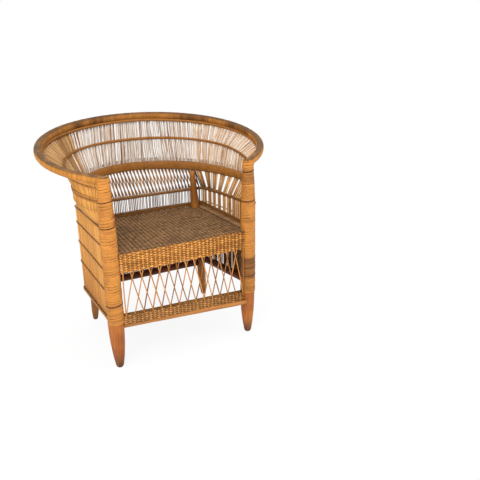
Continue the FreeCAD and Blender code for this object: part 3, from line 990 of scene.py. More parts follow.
@dataclass
class PostWinding:
    """Flat cane wound round a front post up to its head, with dark rings, and the straps on the head."""

    pitch: float = 0.0090
    pitch_spread: float = 0.0015
    lap: float = 0.0006
    per_turn: int = 28
    rise: float = 0.0007
    tilt: float = 0.0012
    swell: Range = (-0.0003, 0.0004)
    tones: Range = (0.62, 1.0)
    strap_tones: Range = (0.75, 0.95)
    ring_tone: float = -1.0
    foot_top: float = 0.24
    foot_shade: float = 0.12
    right_shade: float = 0.16
    right_dark: tuple[tuple[Range, float], ...] = (((0.238, 0.325), 0.52), ((0.610, 0.652), 0.34))
    sides: int = 8
    square: float = 0.62
    head_start: float = 0.655
    head_slope: float = 0.012
    head_top: float = 0.689
    head_radius: float = 0.0190
    ring_half: float = 0.0019
    ring_rise: float = 2.0
    ring_tilt: float = 0.003
    ring_square: float = 0.75
    strap_half: float = 0.0048
    strap_rise: float = 1.6
    left_rings: tuple[float, ...] = (0.250, 0.530, 0.616)
    right_rings: tuple[float, ...] = (0.250, 0.285, 0.320, 0.545, 0.655)
    left_straps: tuple[float, ...] = (0.681,)
    right_straps: tuple[float, ...] = (0.6735, 0.6835)
    seed: int = 37

    def build(self) -> None:
        """Models both windings and their straps and dresses them."""
        draw = random.Random(self.seed)
        finish = CaneFinish(
            "post_winding", (126, 80, 40), (226, 150, 65), (84, 48, 20), seam_start=0.68, seam_depth=1.0,
            seam_breaks=0.75, stain=(150, 94, 44), stain_depth=0.45, stain_scale=26.0,
            fibre_stretch=26.0, fibre_fine=1100.0,
        ).build()
        for side, name in SIDES:
            strands = Strands("front_%s_winding" % name)
            self.wind(strands, side, draw)
            for z in self.left_rings if side < 0 else self.right_rings:
                radius = stepped(PLAN.front_leg, z) + self.ring_rise * self.rise
                self.ring(strands, side, z, radius, self.ring_half, self.ring_tone)
            strands.dress("post_wrap_cane", finish, "front_%s_wrap" % name)
            strap = Strands("%s_head_strap" % name)
            for z in self.left_straps if side < 0 else self.right_straps:
                radius = self.head_radius + self.strap_rise * self.rise
                self.ring(strap, side, z, radius, self.strap_half, draw.uniform(*self.strap_tones))
            strap.dress("post_wrap_cane", finish, "%s_rim_strap" % name)

    def turn_tone(self, side: int, z: float, draw: random.Random) -> float:
        """Tone of one turn: most are golden, some lengths are darker.

        Args:
            side: -1 for the left post, 1 for the right one.
            z: height of the turn.
            draw: source of the small differences.

        Returns:
            The tone from 0 dark to 1 light.
        """
        tone = draw.uniform(*self.tones)
        if z < self.foot_top:
            tone -= self.foot_shade
        if side > 0:
            tone -= self.right_shade
            tone -= sum(shade for (low, high), shade in self.right_dark if low < z < high)
        return max(0.0, tone)

    def radius(self, z: float) -> float:
        """Radius of the winding's middle at height z, wider at the head, where it covers the rim's end."""
        share = clamped((z - self.head_start) / self.head_slope)
        return between(stepped(PLAN.front_leg, z) + self.rise, self.head_radius, share)

    def wind(self, strands: Strands, side: int, draw: random.Random) -> None:
        """Adds the winding of one post.

        Args:
            strands: the mesh it goes into.
            side: -1 for the left post, 1 for the right one.
            draw: source of the differences between turns.
        """
        axis = Vector((side * PLAN.front_x, PLAN.front_y, 0.0))
        heights = [PLAN.leg_top + self.pitch / 2]
        while heights[-1] < self.head_top - self.pitch / 2:
            heights.append(heights[-1] + self.pitch + draw.uniform(-1, 1) * self.pitch_spread)
        tones = [self.turn_tone(side, z, draw) for z in heights]
        swell = [draw.uniform(*self.swell) for _ in heights]
        line, outs, shades, widths = [], [], [], []
        for i in range((len(heights) - 1) * self.per_turn):
            turn, step = divmod(i, self.per_turn)
            share = step / self.per_turn
            angle = 2 * math.pi * share
            out = Vector((math.cos(angle), math.sin(angle), 0.0))
            z = between(heights[turn], heights[turn + 1], share)
            radius = self.radius(z) + between(swell[turn], swell[turn + 1], share)
            line.append(axis + out * radius + UP * (z + self.tilt * math.sin(angle + turn)))
            outs.append(out)
            shades.append(between(tones[turn], tones[turn + 1], share))
            widths.append((heights[turn + 1] - heights[turn]) / 2 + self.lap)
        strands.sweep(line, outs, widths, self.rise, shades, self.sides, self.square)

    def ring(self, strands: Strands, side: int, z: float, radius: float, half: float, tone: float) -> None:
        """Adds one ring of cane round a post, a little higher on the right.

        Args:
            strands: the mesh it goes into.
            side: -1 for the left post, 1 for the right one.
            z: its height.
            radius: its middle radius.
            half: half its width.
            tone: its tone; below 0 it is as dark as a seam.
        """
        axis = Vector((side * PLAN.front_x, PLAN.front_y, z))
        line, outs = [], []
        for i in range(self.per_turn + 1):
            angle = 2 * math.pi * i / self.per_turn
            outs.append(Vector((math.cos(angle), math.sin(angle), 0.0)))
            line.append(axis + outs[-1] * radius + UP * (self.ring_tilt * math.cos(angle)))
        strands.sweep(line, outs, half, self.rise, tone, self.sides, self.ring_square)


@dataclass(frozen=True)
class ReedSize:
    """Reeds of one stretch; widths are shares of the room that a reed has, from thin to thick.

    Fine strands lie beside each reed. Where the wall is filled, two more reeds go with each outer one.
    Left_out is the share of these that are missing, which falls to none between the two places of closing.
    Where the wall is gapped, whole reeds are missing. Pith is the inner face's colours below the low band, up
    to the waist and up to the rim.
    """

    low: Range
    crossed: Range
    flare: Range
    fine: Range
    low_fine: int
    flare_fine: int
    main_tone: Range
    fine_tone: Range
    pith: tuple[Colours, Colours, Colours]
    is_filled: bool = False
    is_gapped: bool = False
    left_out: float = 0.0
    closing: Range = (0.0, 1.0)
    filling: Range = (0.36, 0.36)
    sliver: Range = (0.14, 0.36)


SIDE_PITH = (((150, 104, 56), (236, 190, 136)), ((160, 112, 60), (242, 198, 144)))
REEDS = {
    Stretch.BACK: ReedSize(
        low=(0.17, 0.25), crossed=(0.35, 0.40), flare=(0.08, 0.32), fine=(0.08, 0.18),
        low_fine=1, flare_fine=3, main_tone=(0.0, 0.5), fine_tone=(0.5, 1.0),
        pith=(
            # The low tier's dark pith is partly dirt and partly painted shade under the seat.
            ((84, 58, 34), (206, 195, 181)),
            ((108, 76, 44), (196, 160, 122)),
            ((138, 88, 34), (250, 247, 236)),
        ),
    ),
    Stretch.LEFT: ReedSize(
        low=(0.55, 0.72), crossed=(0.55, 0.72), flare=(0.28, 0.52), fine=(0.16, 0.28),
        low_fine=0, flare_fine=2, main_tone=(0.1, 1.0), fine_tone=(0.0, 0.9),
        pith=SIDE_PITH + (((112, 72, 30), (212, 172, 118)),),
        is_filled=True, left_out=0.5, closing=(0.70, 0.84),
    ),
    Stretch.RIGHT: ReedSize(
        low=(0.62, 0.90), crossed=(0.62, 0.92), flare=(0.12, 0.32), fine=(0.10, 0.20),
        low_fine=0, flare_fine=3, main_tone=(0.1, 1.0), fine_tone=(0.3, 1.0),
        pith=SIDE_PITH + (((150, 96, 40), (244, 228, 204)),),
        is_filled=True, is_gapped=True, left_out=0.75, closing=(0.74, 0.92),
    ),
}


@dataclass(frozen=True)
class Stem:
    """Where one reed of the wall stands.

    A spare one has no lowest tier, a short one is missing where the wall is open, and a filling one goes with
    another.
    """

    low: float
    high: float
    layer: Layer
    stretch: Stretch
    is_spare: bool
    is_short: bool
    is_filling: bool = False


@dataclass(frozen=True)
class Tiers:
    """Meshes of one stretch of the wall: up to the low band, on to the waist, and on to the rim."""

    low: Strands
    crossed: Strands
    flare: Strands


@dataclass
class WallReeds:
    """The reeds of the wall, in two layers from the bottom edge to the rim."""

    pitch: float = 0.0145
    half_thick: float = 0.0017
    square: float = 0.8
    swell: Range = (0.94, 1.05)
    layer_offset: float = 0.00215
    sway: float = 0.0008
    crossed_sway: float = 0.0004
    flare_sway: float = 0.0026
    drift: float = 0.0030
    fine_spread: float = 0.011
    sides: int = 6
    spare: int = 3
    post_gap: float = 0.0264
    corner_past_post: float = 0.020
    corner_run: float = 0.04
    waist_end: float = 1.04
    flare_end: float = 1.022
    gap_every: int = 3
    gap_share: float = 0.95
    fan_reach: float = 0.40
    plumb: float = 0.85
    sliver_gaps: float = 0.40
    sliver_shift: Range = (-0.35, 0.35)
    foot_rise: float = 0.001
    cut_drop: float = -0.012
    low_lap: float = -0.004
    waist_lap: float = 0.003
    rim_lap: float = 0.004
    bottom_darkening: float = 1.2
    bottom_darkening_top: float = 0.34
    samples: int = 200
    seed: int = 51
    reach: float = field(init=False)
    corner: float = field(init=False)
    count: int = field(init=False)
    step: float = field(init=False)

    def __post_init__(self) -> None:
        """Works out how many reeds there are, how far apart they stand and where the back ends."""
        points = [PLAN.box_path.point(i / self.samples - 1) for i in range(2 * self.samples + 1)]
        half_length = sum((b - a).length for a, b in zip(points, points[1:])) / 2
        self.reach = 1 - self.post_gap / half_length
        self.corner = (PLAN.rear_x + self.corner_past_post) / half_length
        self.count = round(2 * half_length * self.reach / self.pitch)
        self.step = 2 * self.reach / self.count

    def build(self) -> None:
        """Models the reeds of the back and of both sides and dresses them."""
        draw = random.Random(self.seed)
        stems = self.stems(draw)
        kinds = ("low_reeds", "crossing_reeds", "flaring_reeds")
        for stretch in REEDS:
            tiers = Tiers(*[Strands("%s_%s" % (stretch.value, kind)) for kind in kinds])
            for stem in stems:
                if stem.stretch is stretch:
                    self.reed(tiers, stem, draw)
            self.dress(tiers, stretch)

    @staticmethod
    def dress(tiers: Tiers, stretch: Stretch) -> None:
        """Dresses one stretch: golden outside, pith inside, painted shade on the inner face under the seat.

        Args:
            tiers: its meshes.
            stretch: which one it is.
        """
        name = stretch.value
        low_pith, crossed_pith, flare_pith = REEDS[stretch].pith
        # The low tier carries painted shade on its inner face under the seat.
        low = ReedFinish(
            name + "_low_reed", (188, 122, 50), (240, 176, 92), (118, 72, 30), low_pith,
            under_seat_shade=(104, 66, 38), seam_depth=0.55,
        )
        crossed = ReedFinish(
            name + "_crossed_reed", (190, 124, 52), (242, 178, 92), (120, 74, 32), crossed_pith
        )
        flare = ReedFinish(
            name + "_flare_reed", (194, 126, 52), (244, 178, 90), (122, 74, 30), flare_pith,
            stain=(184, 124, 60), stain_depth=0.3, stain_scale=9.0,
        )
        tiers.low.dress("wall_reed", low.build(), "%s_wall_reeds" % name)
        tiers.crossed.dress("crossed_reed", crossed.build(), "%s_crossed_reeds" % name)
        tiers.flare.dress("flare_reed", flare.build(), "%s_flare_reeds" % name)

    def stems(self, draw: random.Random) -> list[Stem]:
        """Places of all the reeds, with a few more behind the front posts for the upper tiers.

        Args:
            draw: source of the gaps.

        Returns:
            The stems from the left post to the right one.
        """
        stems = []
        numbers = range(-self.spare, self.count + self.spare)
        gaps = {i: draw.random() for i in numbers if i % self.gap_every == 0}
        for i in numbers:
            for layer, quarter in ((Layer.INNER, 0.25), (Layer.OUTER, 0.75)):
                gap = gaps.get(i if layer is Layer.INNER else i + 1, 1.0)
                u = -self.reach + (i + quarter) * self.step
                side = Stretch.LEFT if u < 0 else Stretch.RIGHT
                stretch = Stretch.BACK if abs(u) <= self.corner else side
                size = REEDS[stretch]
                lean = layer.value * self.step / 2 * clamped((self.corner - abs(u)) / self.corner_run)
                high = self.above(u) + lean * PLAN.reed_fan
                start, end = size.closing
                openness = clamped((end - abs(u)) / (end - start))
                is_missing = size.is_gapped and gap < self.gap_share * openness
                is_spare = abs(u) > self.reach
                stems.append(Stem(u - lean, high, layer, stretch, is_spare, is_missing))
                for way in (-1, 1) if layer is Layer.OUTER and size.is_filled else ():
                    off = way * self.step / 3
                    over = high + off * PLAN.reed_fan
                    is_short = is_missing or draw.random() < size.left_out * openness
                    stems.append(Stem(u + off, over, layer, stretch, is_spare, is_short, True))
        return stems

    def above(self, u: float) -> float:
        """Place on the waist above a place on the box: the same share at the back, nearly plumb at the sides.

        Args:
            u: place on the box line.

        Returns:
            The place on the waist line.
        """
        y = PLAN.box_path.point(u).y
        plumb = last_place(0.0, self.waist_end, lambda place: PLAN.waist_path.point(place).y > y)
        share = clamped((abs(u) - self.corner) / self.fan_reach) * self.plumb
        return math.copysign(between(abs(u) * PLAN.reed_fan, plumb, share), u)

    def reed(self, tiers: Tiers, stem: Stem, draw: random.Random) -> None:
        """Adds one reed, tier by tier, and the fine strands beside it.

        Args:
            tiers: the meshes of its stretch.
            stem: where the reed stands.
            draw: source of its bends and tone.
        """
        size = REEDS[stem.stretch]
        tone = draw.uniform(*size.main_tone)
        widths = (size.filling,) * 3 if stem.is_filling else (size.low, size.crossed, size.flare)
        places = [(0.0, widths, tone, stem.layer)]
        for _ in range(0 if stem.is_filling else max(size.low_fine, size.flare_fine)):
            off = draw.uniform(-1, 1) * self.fine_spread
            places.append((off, (size.fine,) * 3, draw.uniform(*size.fine_tone), Layer.INNER))
        for number, (off, (low_width, crossed_width, flare_width), shade, layer) in enumerate(places):
            under, over = stem.low + off, stem.high + off * PLAN.reed_fan
            is_cut = stem.is_short and size.is_gapped
            is_missing = is_cut and stem.is_filling
            if is_cut and layer is Layer.INNER and number == 0:
                low_width = crossed_width = size.sliver
                shift = draw.uniform(*self.sliver_shift) * self.step
                under, over = under + shift, over + shift * PLAN.reed_fan
                is_cut = is_missing = draw.random() < self.sliver_gaps
            elif is_cut:
                low_width = size.sliver
            if not stem.is_spare and number <= size.low_fine and not is_missing:
                top = (PLAN.seat_band.raised(self.cut_drop),) if is_cut else (PLAN.seat_band, PLAN.low)
                levels = (PLAN.bottom.raised(self.foot_rise), PLAN.under, PLAN.middle) + top
                stops = [(PLAN.box_path, under, level) for level in levels]
                self.cane(tiers.low, stops, layer, draw.uniform(*low_width), shade, self.sway, draw)
            if number == 0 and not is_cut:
                stops = [
                    (PLAN.box_path, under, PLAN.low.raised(self.low_lap)),
                    (PLAN.waist_path, over, PLAN.waist_low.raised(self.waist_lap)),
                ]
                width = draw.uniform(*crossed_width)
                self.cane(tiers.crossed, stops, layer, width, shade, self.crossed_sway, draw)
            is_open = stem.is_short and stem.is_filling
            if number <= size.flare_fine and abs(stem.low) <= self.flare_end and not is_open:
                drift = 0.0 if stem.is_filling else draw.uniform(-1, 1) * self.drift
                stops = [
                    (PLAN.waist_path, over, PLAN.waist_low),
                    (PLAN.waist_path, over, PLAN.flare),
                    (PLAN.upper_path, over + drift, PLAN.upper),
                    (PLAN.rim_path, over + 2 * drift, PLAN.rim_under.raised(self.rim_lap)),
                ]
                sway = self.crossed_sway if stem.is_filling else self.flare_sway
                self.cane(tiers.flare, stops, layer, draw.uniform(*flare_width), shade, sway, draw)

    def cane(
        self, strands: Strands, stops: Sequence[tuple[WallPath, float, Level]], layer: Layer, width: float,
        tone: float, sway: float, draw: random.Random,
    ) -> None:
        """Adds one cane through stops, with a small bend half way between them.

        Args:
            strands: the mesh it goes into.
            stops: line in plan, place on it and plane that gives the height.
            layer: the cane's layer.
            width: its width as a share of the room that a reed has.
            tone: its tone.
            sway: how far it may bend to a side.
            draw: source of its bends.
        """
        line, outs, halves = [], [], []
        for path, u, level in stops:
            out = path.out(u)
            along = Vector((out.y, -out.x, 0.0))
            plan = path.point(u) + out * (layer.value * self.layer_offset)
            place = Vector((plan.x, plan.y, level.z(plan.y)))
            room = (path.point(u + self.step / 2) - path.point(u - self.step / 2)).length
            half = width * room / 2
            if line:
                line.append(line[-1].lerp(place, 0.5) + along * (draw.uniform(-1, 1) * sway))
                outs.append((outs[-1] + out).normalized())
                halves.append((halves[-1] + half) / 2 * draw.uniform(*self.swell))
            line.append(place)
            outs.append(out)
            halves.append(half)
        # The reeds get darker towards the bottom of the wall.
        tones = [max(0.0, tone - self.bottom_darkening * max(0.0, 1 - spot.z / self.bottom_darkening_top)) for spot in line]
        strands.sweep(line, outs, halves, min(self.half_thick, halves[0]), tones, self.sides, self.square)


@dataclass(frozen=True)
class Band:
    """One band or hoop: its node, line in plan, underside and near and far face.

    Taper is how much narrower it gets towards the right end.
    """

    node: str
    path: WallPath
    under: Level
    near: float
    far: float
    height: float
    canes: int = 1
    taper: float = 0.0


@dataclass
class Bands:
    """The flat bands and hoops that hold the reeds inside and outside."""

    thick: float = 0.004
    thin: float = 0.0028
    line_height: float = 0.0048
    line_drop: float = -0.006
    post_lap: float = 0.003
    taper_start: float = 0.62
    taper_rise: float = 0.75
    waver: float = 0.0007
    waver_waves: float = 11.0
    tones: Range = (0.35, 0.75)
    tone_swing: float = 0.15
    tone_waves: float = 5.0
    cane_share: float = 0.51
    gap: float = 0.0002
    steps: int = 120
    sides: int = 8
    square: float = 0.55
    seed: int = 67

    def build(self) -> None:
        """Models every band and hoop and dresses it."""
        draw = random.Random(self.seed)
        for finish, bands in self.inner_bands() + self.outer_bands():
            material = finish.build()
            for band in bands:
                strands = Strands(band.node + "_cane")
                self.band(strands, band, draw)
                strands.dress("hoop_cane" if band.far <= 0 else "outer_band_cane", material, band.node)

    def inner_bands(self) -> list[tuple[BandFinish, list[Band]]]:
        """The bands and hoops inside the wall.

        Returns:
            Each finish with the bands that have it.
        """
        far = -PLAN.wall_half - self.gap
        near = far - self.thick
        seat_under = PLAN.inner_seat_band.raised(-0.018)
        rim_under = PLAN.rim_under.raised(-0.0065)
        low = [
            Band("low_inner_band", PLAN.box_path, PLAN.low.raised(-0.011), near, far, height=0.011),
            Band("seat_inner_band", PLAN.box_path, seat_under, near, far, height=0.015, canes=2),
        ]
        waist = [
            Band("waist_band", PLAN.waist_path, PLAN.waist_low, far - 0.005, far, height=0.035, taper=0.013),
        ]
        hoops = [
            Band("upper_inner_hoop", PLAN.upper_path, PLAN.upper, far - 0.006, far, height=0.0095),
            Band("rim_inner_hoop", PLAN.rim_path, rim_under, -PLAN.rim_section / 2, far, height=0.011),
        ]
        return [
            (BandFinish("low_inner_band", (104, 66, 28), (152, 102, 48)), low),
            (BandFinish("waist_band", (126, 78, 30), (176, 116, 50)), waist),
            (BandFinish("inner_hoop", (140, 86, 32), (192, 128, 58)), hoops),
        ]

    def outer_bands(self) -> list[tuple[BandFinish, list[Band]]]:
        """The bands and hoops outside the wall.

        Returns:
            Each finish with the bands that have it.
        """
        near = PLAN.wall_half + self.gap
        far, thick = near + self.thin, near + self.thick
        drop, tall = self.line_drop, self.line_height
        levels = {"low": PLAN.low, "seat": PLAN.seat_band, "middle": PLAN.middle, "under": PLAN.under}
        lines = [
            Band(name + "_outer_band", PLAN.box_path, level.raised(drop), near, far, tall)
            for name, level in levels.items()
        ]
        binding = [Band("bottom_binding", PLAN.box_path, PLAN.bottom, near, thick, height=0.012, canes=2)]
        waist_under = PLAN.flare.raised(-0.014)
        hoops = [
            Band("waist_outer_hoop", PLAN.waist_path, waist_under, near, far, height=0.014, canes=2),
            Band("upper_outer_hoop", PLAN.upper_path, PLAN.upper.raised(drop), near, far, tall),
        ]
        pale = ((196, 172, 142), (226, 208, 184))
        return [
            (BandFinish("outer_band", (110, 70, 30), (168, 112, 52)), lines),
            (BandFinish("bottom_binding", (142, 94, 42), (200, 140, 70)), binding),
            (BandFinish("outer_hoop", (156, 100, 42), (208, 142, 66), inside=pale), hoops),
        ]

    def reach(self, band: Band) -> float:
        """The place where a band comes up to the wound front post.

        Args:
            band: the band.

        Returns:
            The place from 0 to 1.
        """
        axis = Vector((PLAN.front_x, PLAN.front_y, 0.0))
        radius = PLAN.post_radius(band.under.z(PLAN.front_y)) - self.post_lap
        return last_place(0.5, 1.0, lambda u: (band.path.point(u, band.near) - axis).length > radius)

    def band(self, strands: Strands, band: Band, draw: random.Random) -> None:
        """Adds the canes of one band, one above the other.

        Args:
            strands: the mesh they go into.
            band: the band.
            draw: source of their tones and waver.
        """
        reach = self.reach(band)
        middle = (band.near + band.far) / 2
        height = band.height / band.canes
        for row in range(band.canes):
            phase = draw.uniform(*PHASES)
            tone = draw.uniform(*self.tones)
            line, outs, tones, halves = [], [], [], []
            for i in range(self.steps + 1):
                u = between(-reach, reach, i / self.steps)
                plan = band.path.point(u, middle)
                waver = self.waver * math.sin(self.waver_waves * u + phase)
                narrow = band.taper * max(0.0, (u - self.taper_start) / (reach - self.taper_start))
                rise = height * (row + 0.5) + waver + self.taper_rise * narrow
                line.append(Vector((plan.x, plan.y, band.under.z(plan.y) + rise)))
                outs.append(band.path.out(u))
                tones.append(tone + self.tone_swing * math.sin(self.tone_waves * u + phase))
                halves.append(height * self.cane_share - narrow / 2)
            strands.sweep(line, outs, halves, (band.far - band.near) / 2, tones, self.sides, self.square)


@dataclass
class Rim:
    """The rim, wound with broad cane on a round bar."""

    half: float = 0.014
    cane: float = 0.0005
    cane_sides: int = 8
    cane_square: float = 0.85
    pitch: float = 0.0155
    per_turn: int = 16
    overhang: float = 0.013
    slant: float = 0.0008
    overlap: float = 1.12
    step_down: float = 0.0002
    square: float = 0.78
    core_steps: int = 120
    core_sides: int = 12
    core_tone: float = 0.3
    tones: Range = (0.32, 0.50)
    dark_lengths: tuple[Range, ...] = ((-0.35, -0.30), (-0.25, -0.16), (0.30, 0.45), (0.53, 0.78))
    dark_shade: float = 0.30
    arm_start: float = 0.68
    arm_light: float = 0.34
    end_run: float = 0.98
    last_out: float = 0.99
    last_length: float = 0.001
    samples: int = 400
    seed: int = 83
    lengths: list[float] = field(init=False)

    def __post_init__(self) -> None:
        """Measures the rim from its left post to the right one."""
        points = [self.place(i / self.samples - 1) for i in range(2 * self.samples + 1)]
        self.lengths = [0.0]
        for a, b in zip(points, points[1:]):
            self.lengths.append(self.lengths[-1] + (b - a).length)

    def build(self) -> None:
        """Models the rim and dresses it."""
        draw = random.Random(self.seed)
        finish = CaneFinish(
            "rim_winding", (92, 54, 18), (228, 152, 64), (104, 64, 26), weather=((84, 62, 38), (82, 52, 22)),
            seam_start=0.92, seam_depth=0.20, seam_breaks=0.6, stain=(124, 78, 34), stain_depth=0.35,
            stain_scale=16.0, fibre_stretch=26.0, fibre_fine=700.0,
        ).build()
        strands = Strands("wound_rim")
        self.core(strands)
        self.wind(strands, draw)
        strands.dress("rim_wrap_cane", finish, "rim_wrap", "rim_core")

    def place(self, u: float) -> Vector:
        """Centre of the rim; beyond the posts it runs straight on.

        Args:
            u: place on the rim's line.

        Returns:
            The centre.
        """
        clear = clamped(u, -1.0, 1.0)
        plan = PLAN.rim_path.point(clear)
        if u != clear:
            run = (plan - PLAN.rim_path.point(clear * self.end_run)).normalized()
            plan = plan + run * (abs(u) - 1)
        return Vector((plan.x, plan.y, PLAN.rim_under.z(plan.y) + self.half))

    def at_length(self, length: float) -> float:
        """The place at a length along the rim.

        Args:
            length: distance from the left post.

        Returns:
            The place on the rim's line.
        """
        low, high = 0, len(self.lengths) - 1
        while high - low > 1:
            middle = (low + high) // 2
            if self.lengths[middle] <= length:
                low = middle
            else:
                high = middle
        share = (length - self.lengths[low]) / (self.lengths[high] - self.lengths[low])
        return (low + share) / self.samples - 1

    def station(self, length: float) -> Spot:
        """Centre of the rim and the direction out of the wall at a length along it.

        Args:
            length: distance from the left post, which may be beyond either post.

        Returns:
            The centre and the direction.
        """
        total = self.lengths[-1]
        if length < 0:
            u = -1 + length
        elif length > total:
            u = 1 + length - total
        else:
            u = self.at_length(length)
        return self.place(u), PLAN.rim_path.out(clamped(u, -self.last_out, self.last_out))

    def section(self, out: Vector, up: Vector, angle: float, radius: float) -> Vector:
        """Point of the rim's rounded square section.

        Args:
            out: direction out of the wall.
            up: direction square to it and to the rim.
            angle: place round the section.
            radius: half the section's width.

        Returns:
            The point, from the rim's centre.
        """
        across, rise = math.cos(angle), math.sin(angle)
        level = out * math.copysign(abs(across) ** self.square, across)
        return (level + up * math.copysign(abs(rise) ** self.square, rise)) * radius

    def core(self, strands: Strands) -> None:
        """Adds the bar that the cane is wound on.

        Args:
            strands: the mesh it goes into.
        """
        start, end = -self.overhang, self.lengths[-1] + self.overhang
        shares = [i / self.core_steps for i in range(self.core_steps + 1)]
        stations = [self.station(between(start, end, share)) for share in shares]
        line = [centre for centre, _ in stations]
        outs = [out for _, out in stations]
        inner = self.half - 2 * self.cane
        strands.sweep(line, outs, inner, inner, self.core_tone, self.core_sides, self.square)

    def turn_tone(self, u: float, draw: random.Random) -> float:
        """Tone of one turn: the back has lengths of darker cane.

        Args:
            u: its place on the rim's line.
            draw: source of the small differences.

        Returns:
            The tone from 0 dark to 1 light.
        """
        tone = draw.uniform(*self.tones)
        for start, end in self.dark_lengths:
            if start < u < end:
                tone -= self.dark_shade
        if abs(u) > self.arm_start:
            tone += self.arm_light
        return max(0.0, tone)

    def wind(self, strands: Strands, draw: random.Random) -> None:
        """Adds the turns of flat cane, each a ring a little off square.

        Args:
            strands: the mesh they go into.
            draw: source of the differences between turns.
        """
        total = self.lengths[-1]
        start, end = -self.overhang + self.pitch / 2, total + self.overhang - self.pitch / 2
        turns = round((end - start) / self.pitch)
        step = (end - start) / turns
        for turn in range(turns + 1):
            middle = start + turn * step
            tone = self.turn_tone(self.at_length(clamped(middle, 0.0, total - self.last_length)), draw)
            slant = draw.uniform(-1, 1) * self.slant
            axis = self.station(middle + self.pitch / 4)[0] - self.station(middle - self.pitch / 4)[0]
            radius = self.half - self.cane - (turn % 2) * self.step_down
            line, outs = [], []
            for i in range(self.per_turn + 1):
                angle = 2 * math.pi * i / self.per_turn - math.pi / 2
                centre, out = self.station(middle + slant * math.cos(angle))
                up = out.cross(axis).normalized()
                up = up if up.z > 0 else -up
                spoke = self.section(out, up, angle, radius)
                line.append(centre + spoke)
                outs.append(spoke.normalized())
            half = step / 2 * self.overlap
            strands.sweep(line, outs, half, self.cane, tone, self.cane_sides, self.cane_square)


@dataclass
class PlainWeave:
    """A weave of ribs and of rows that go before one rib and behind the next."""

    rib_pitch: float = 0.0150
    rib_half: float = 0.0026
    rib_thick: float = 0.0014
    rib_steps: int = 12
    rib_tones: Range = (0.2, 0.5)
    shade_sheet_spread: float = 1.03
    shade_sheet_tone: float = -0.3
    shade_sheet_square: float = 0.6
    row_pitch: float = 0.0043
    row_tones: Range = (0.45, 0.75)
    stitch_tones: Range = (-0.25, 0.25)
    per_rib: int = 8
    wave: float = 0.0019
    half_thick: float = 0.0011
    swell: float = 0.90
    lift_shade: float = 0.50
    mean_lift: float = 0.45
    crown: float = 3.0
    valley: float = 0.7
    least_relief: float = 0.25
    painted_right_shade: float = 0.0
    sides: int = 6
    square: float = 0.8

    def ribs(self, reach: float) -> list[float]:
        """Places of the ribs across the chair, the same for every weave that runs on into another."""
        count = int(reach / self.rib_pitch)
        return [(i + 0.5) * self.rib_pitch for i in range(-count, count)]

    def weave(
        self, strands: Strands, place: Surface, reach: float, length: float, flat: float, draw: random.Random
    ) -> None:
        """Adds the ribs, a dark sheet of painted shade behind them and the rows.

        Args:
            strands: the mesh they go into.
            place: gives the place and outward direction on the surface.
            reach: how far the rows run to each side of the middle.
            length: how far the surface runs away from its first row.
            flat: distance from the first row over which the weave rises to its full relief.
            draw: source of the differences between stitches.
        """
        rows = round(length / self.row_pitch)
        step = length / rows
        for x in self.ribs(reach):
            spots = [place(x, length * i / self.rib_steps) for i in range(self.rib_steps + 1)]
            outs = [out for _, out in spots]
            line = [spot for spot, _ in spots]
            tone = draw.uniform(*self.rib_tones)
            strands.sweep(line, outs, self.rib_half, self.rib_thick, tone, self.sides, self.square)
            # Painted shade: a dark strip behind each rib fills the gaps of the weave with shade colour.
            back = [spot - out * self.wave for spot, out in spots]
            half = self.rib_pitch / 2 * self.shade_sheet_spread
            strands.sweep(back, outs, half, self.half_thick, self.shade_sheet_tone, self.sides, self.shade_sheet_square)
        steps = 2 * math.ceil(reach / self.rib_pitch * self.per_rib)
        for row in range(rows):
            down = (row + 0.5) * step
            relief = min(1.0, self.least_relief + down / flat) if flat else 1.0
            tone = draw.uniform(*self.row_tones)
            stitches = [draw.uniform(*self.stitch_tones) for _ in range(steps // self.per_rib + 2)]
            line, outs, tones, halves = [], [], [], []
            for i in range(steps + 1):
                share = (i - steps // 2) / self.per_rib
                stitch = math.floor(share)
                side = 1 if (stitch + row) % 2 else -1
                bend = self.crown if side > 0 else self.valley
                lift = side * abs(math.sin(math.pi * share)) ** bend * relief
                x = clamped(share * self.rib_pitch, -reach, reach)
                spot, out = place(x, down)
                line.append(spot + out * (self.wave * lift))
                outs.append(out)
                # Painted light and shade: a strand is lighter where it lifts forward over a rib and darker
                # where it sinks behind one.
                shade = tone + stitches[stitch + len(stitches) // 2] + self.lift_shade * (lift - self.mean_lift)
                # Painted shade: the weave darkens towards its right end.
                tones.append(clamped(shade - self.painted_right_shade * max(0.0, x / reach)))
                halves.append(step / 2 * (1.0 + self.swell * lift))
            strands.sweep(line, outs, halves, self.half_thick, tones, self.sides, self.square)


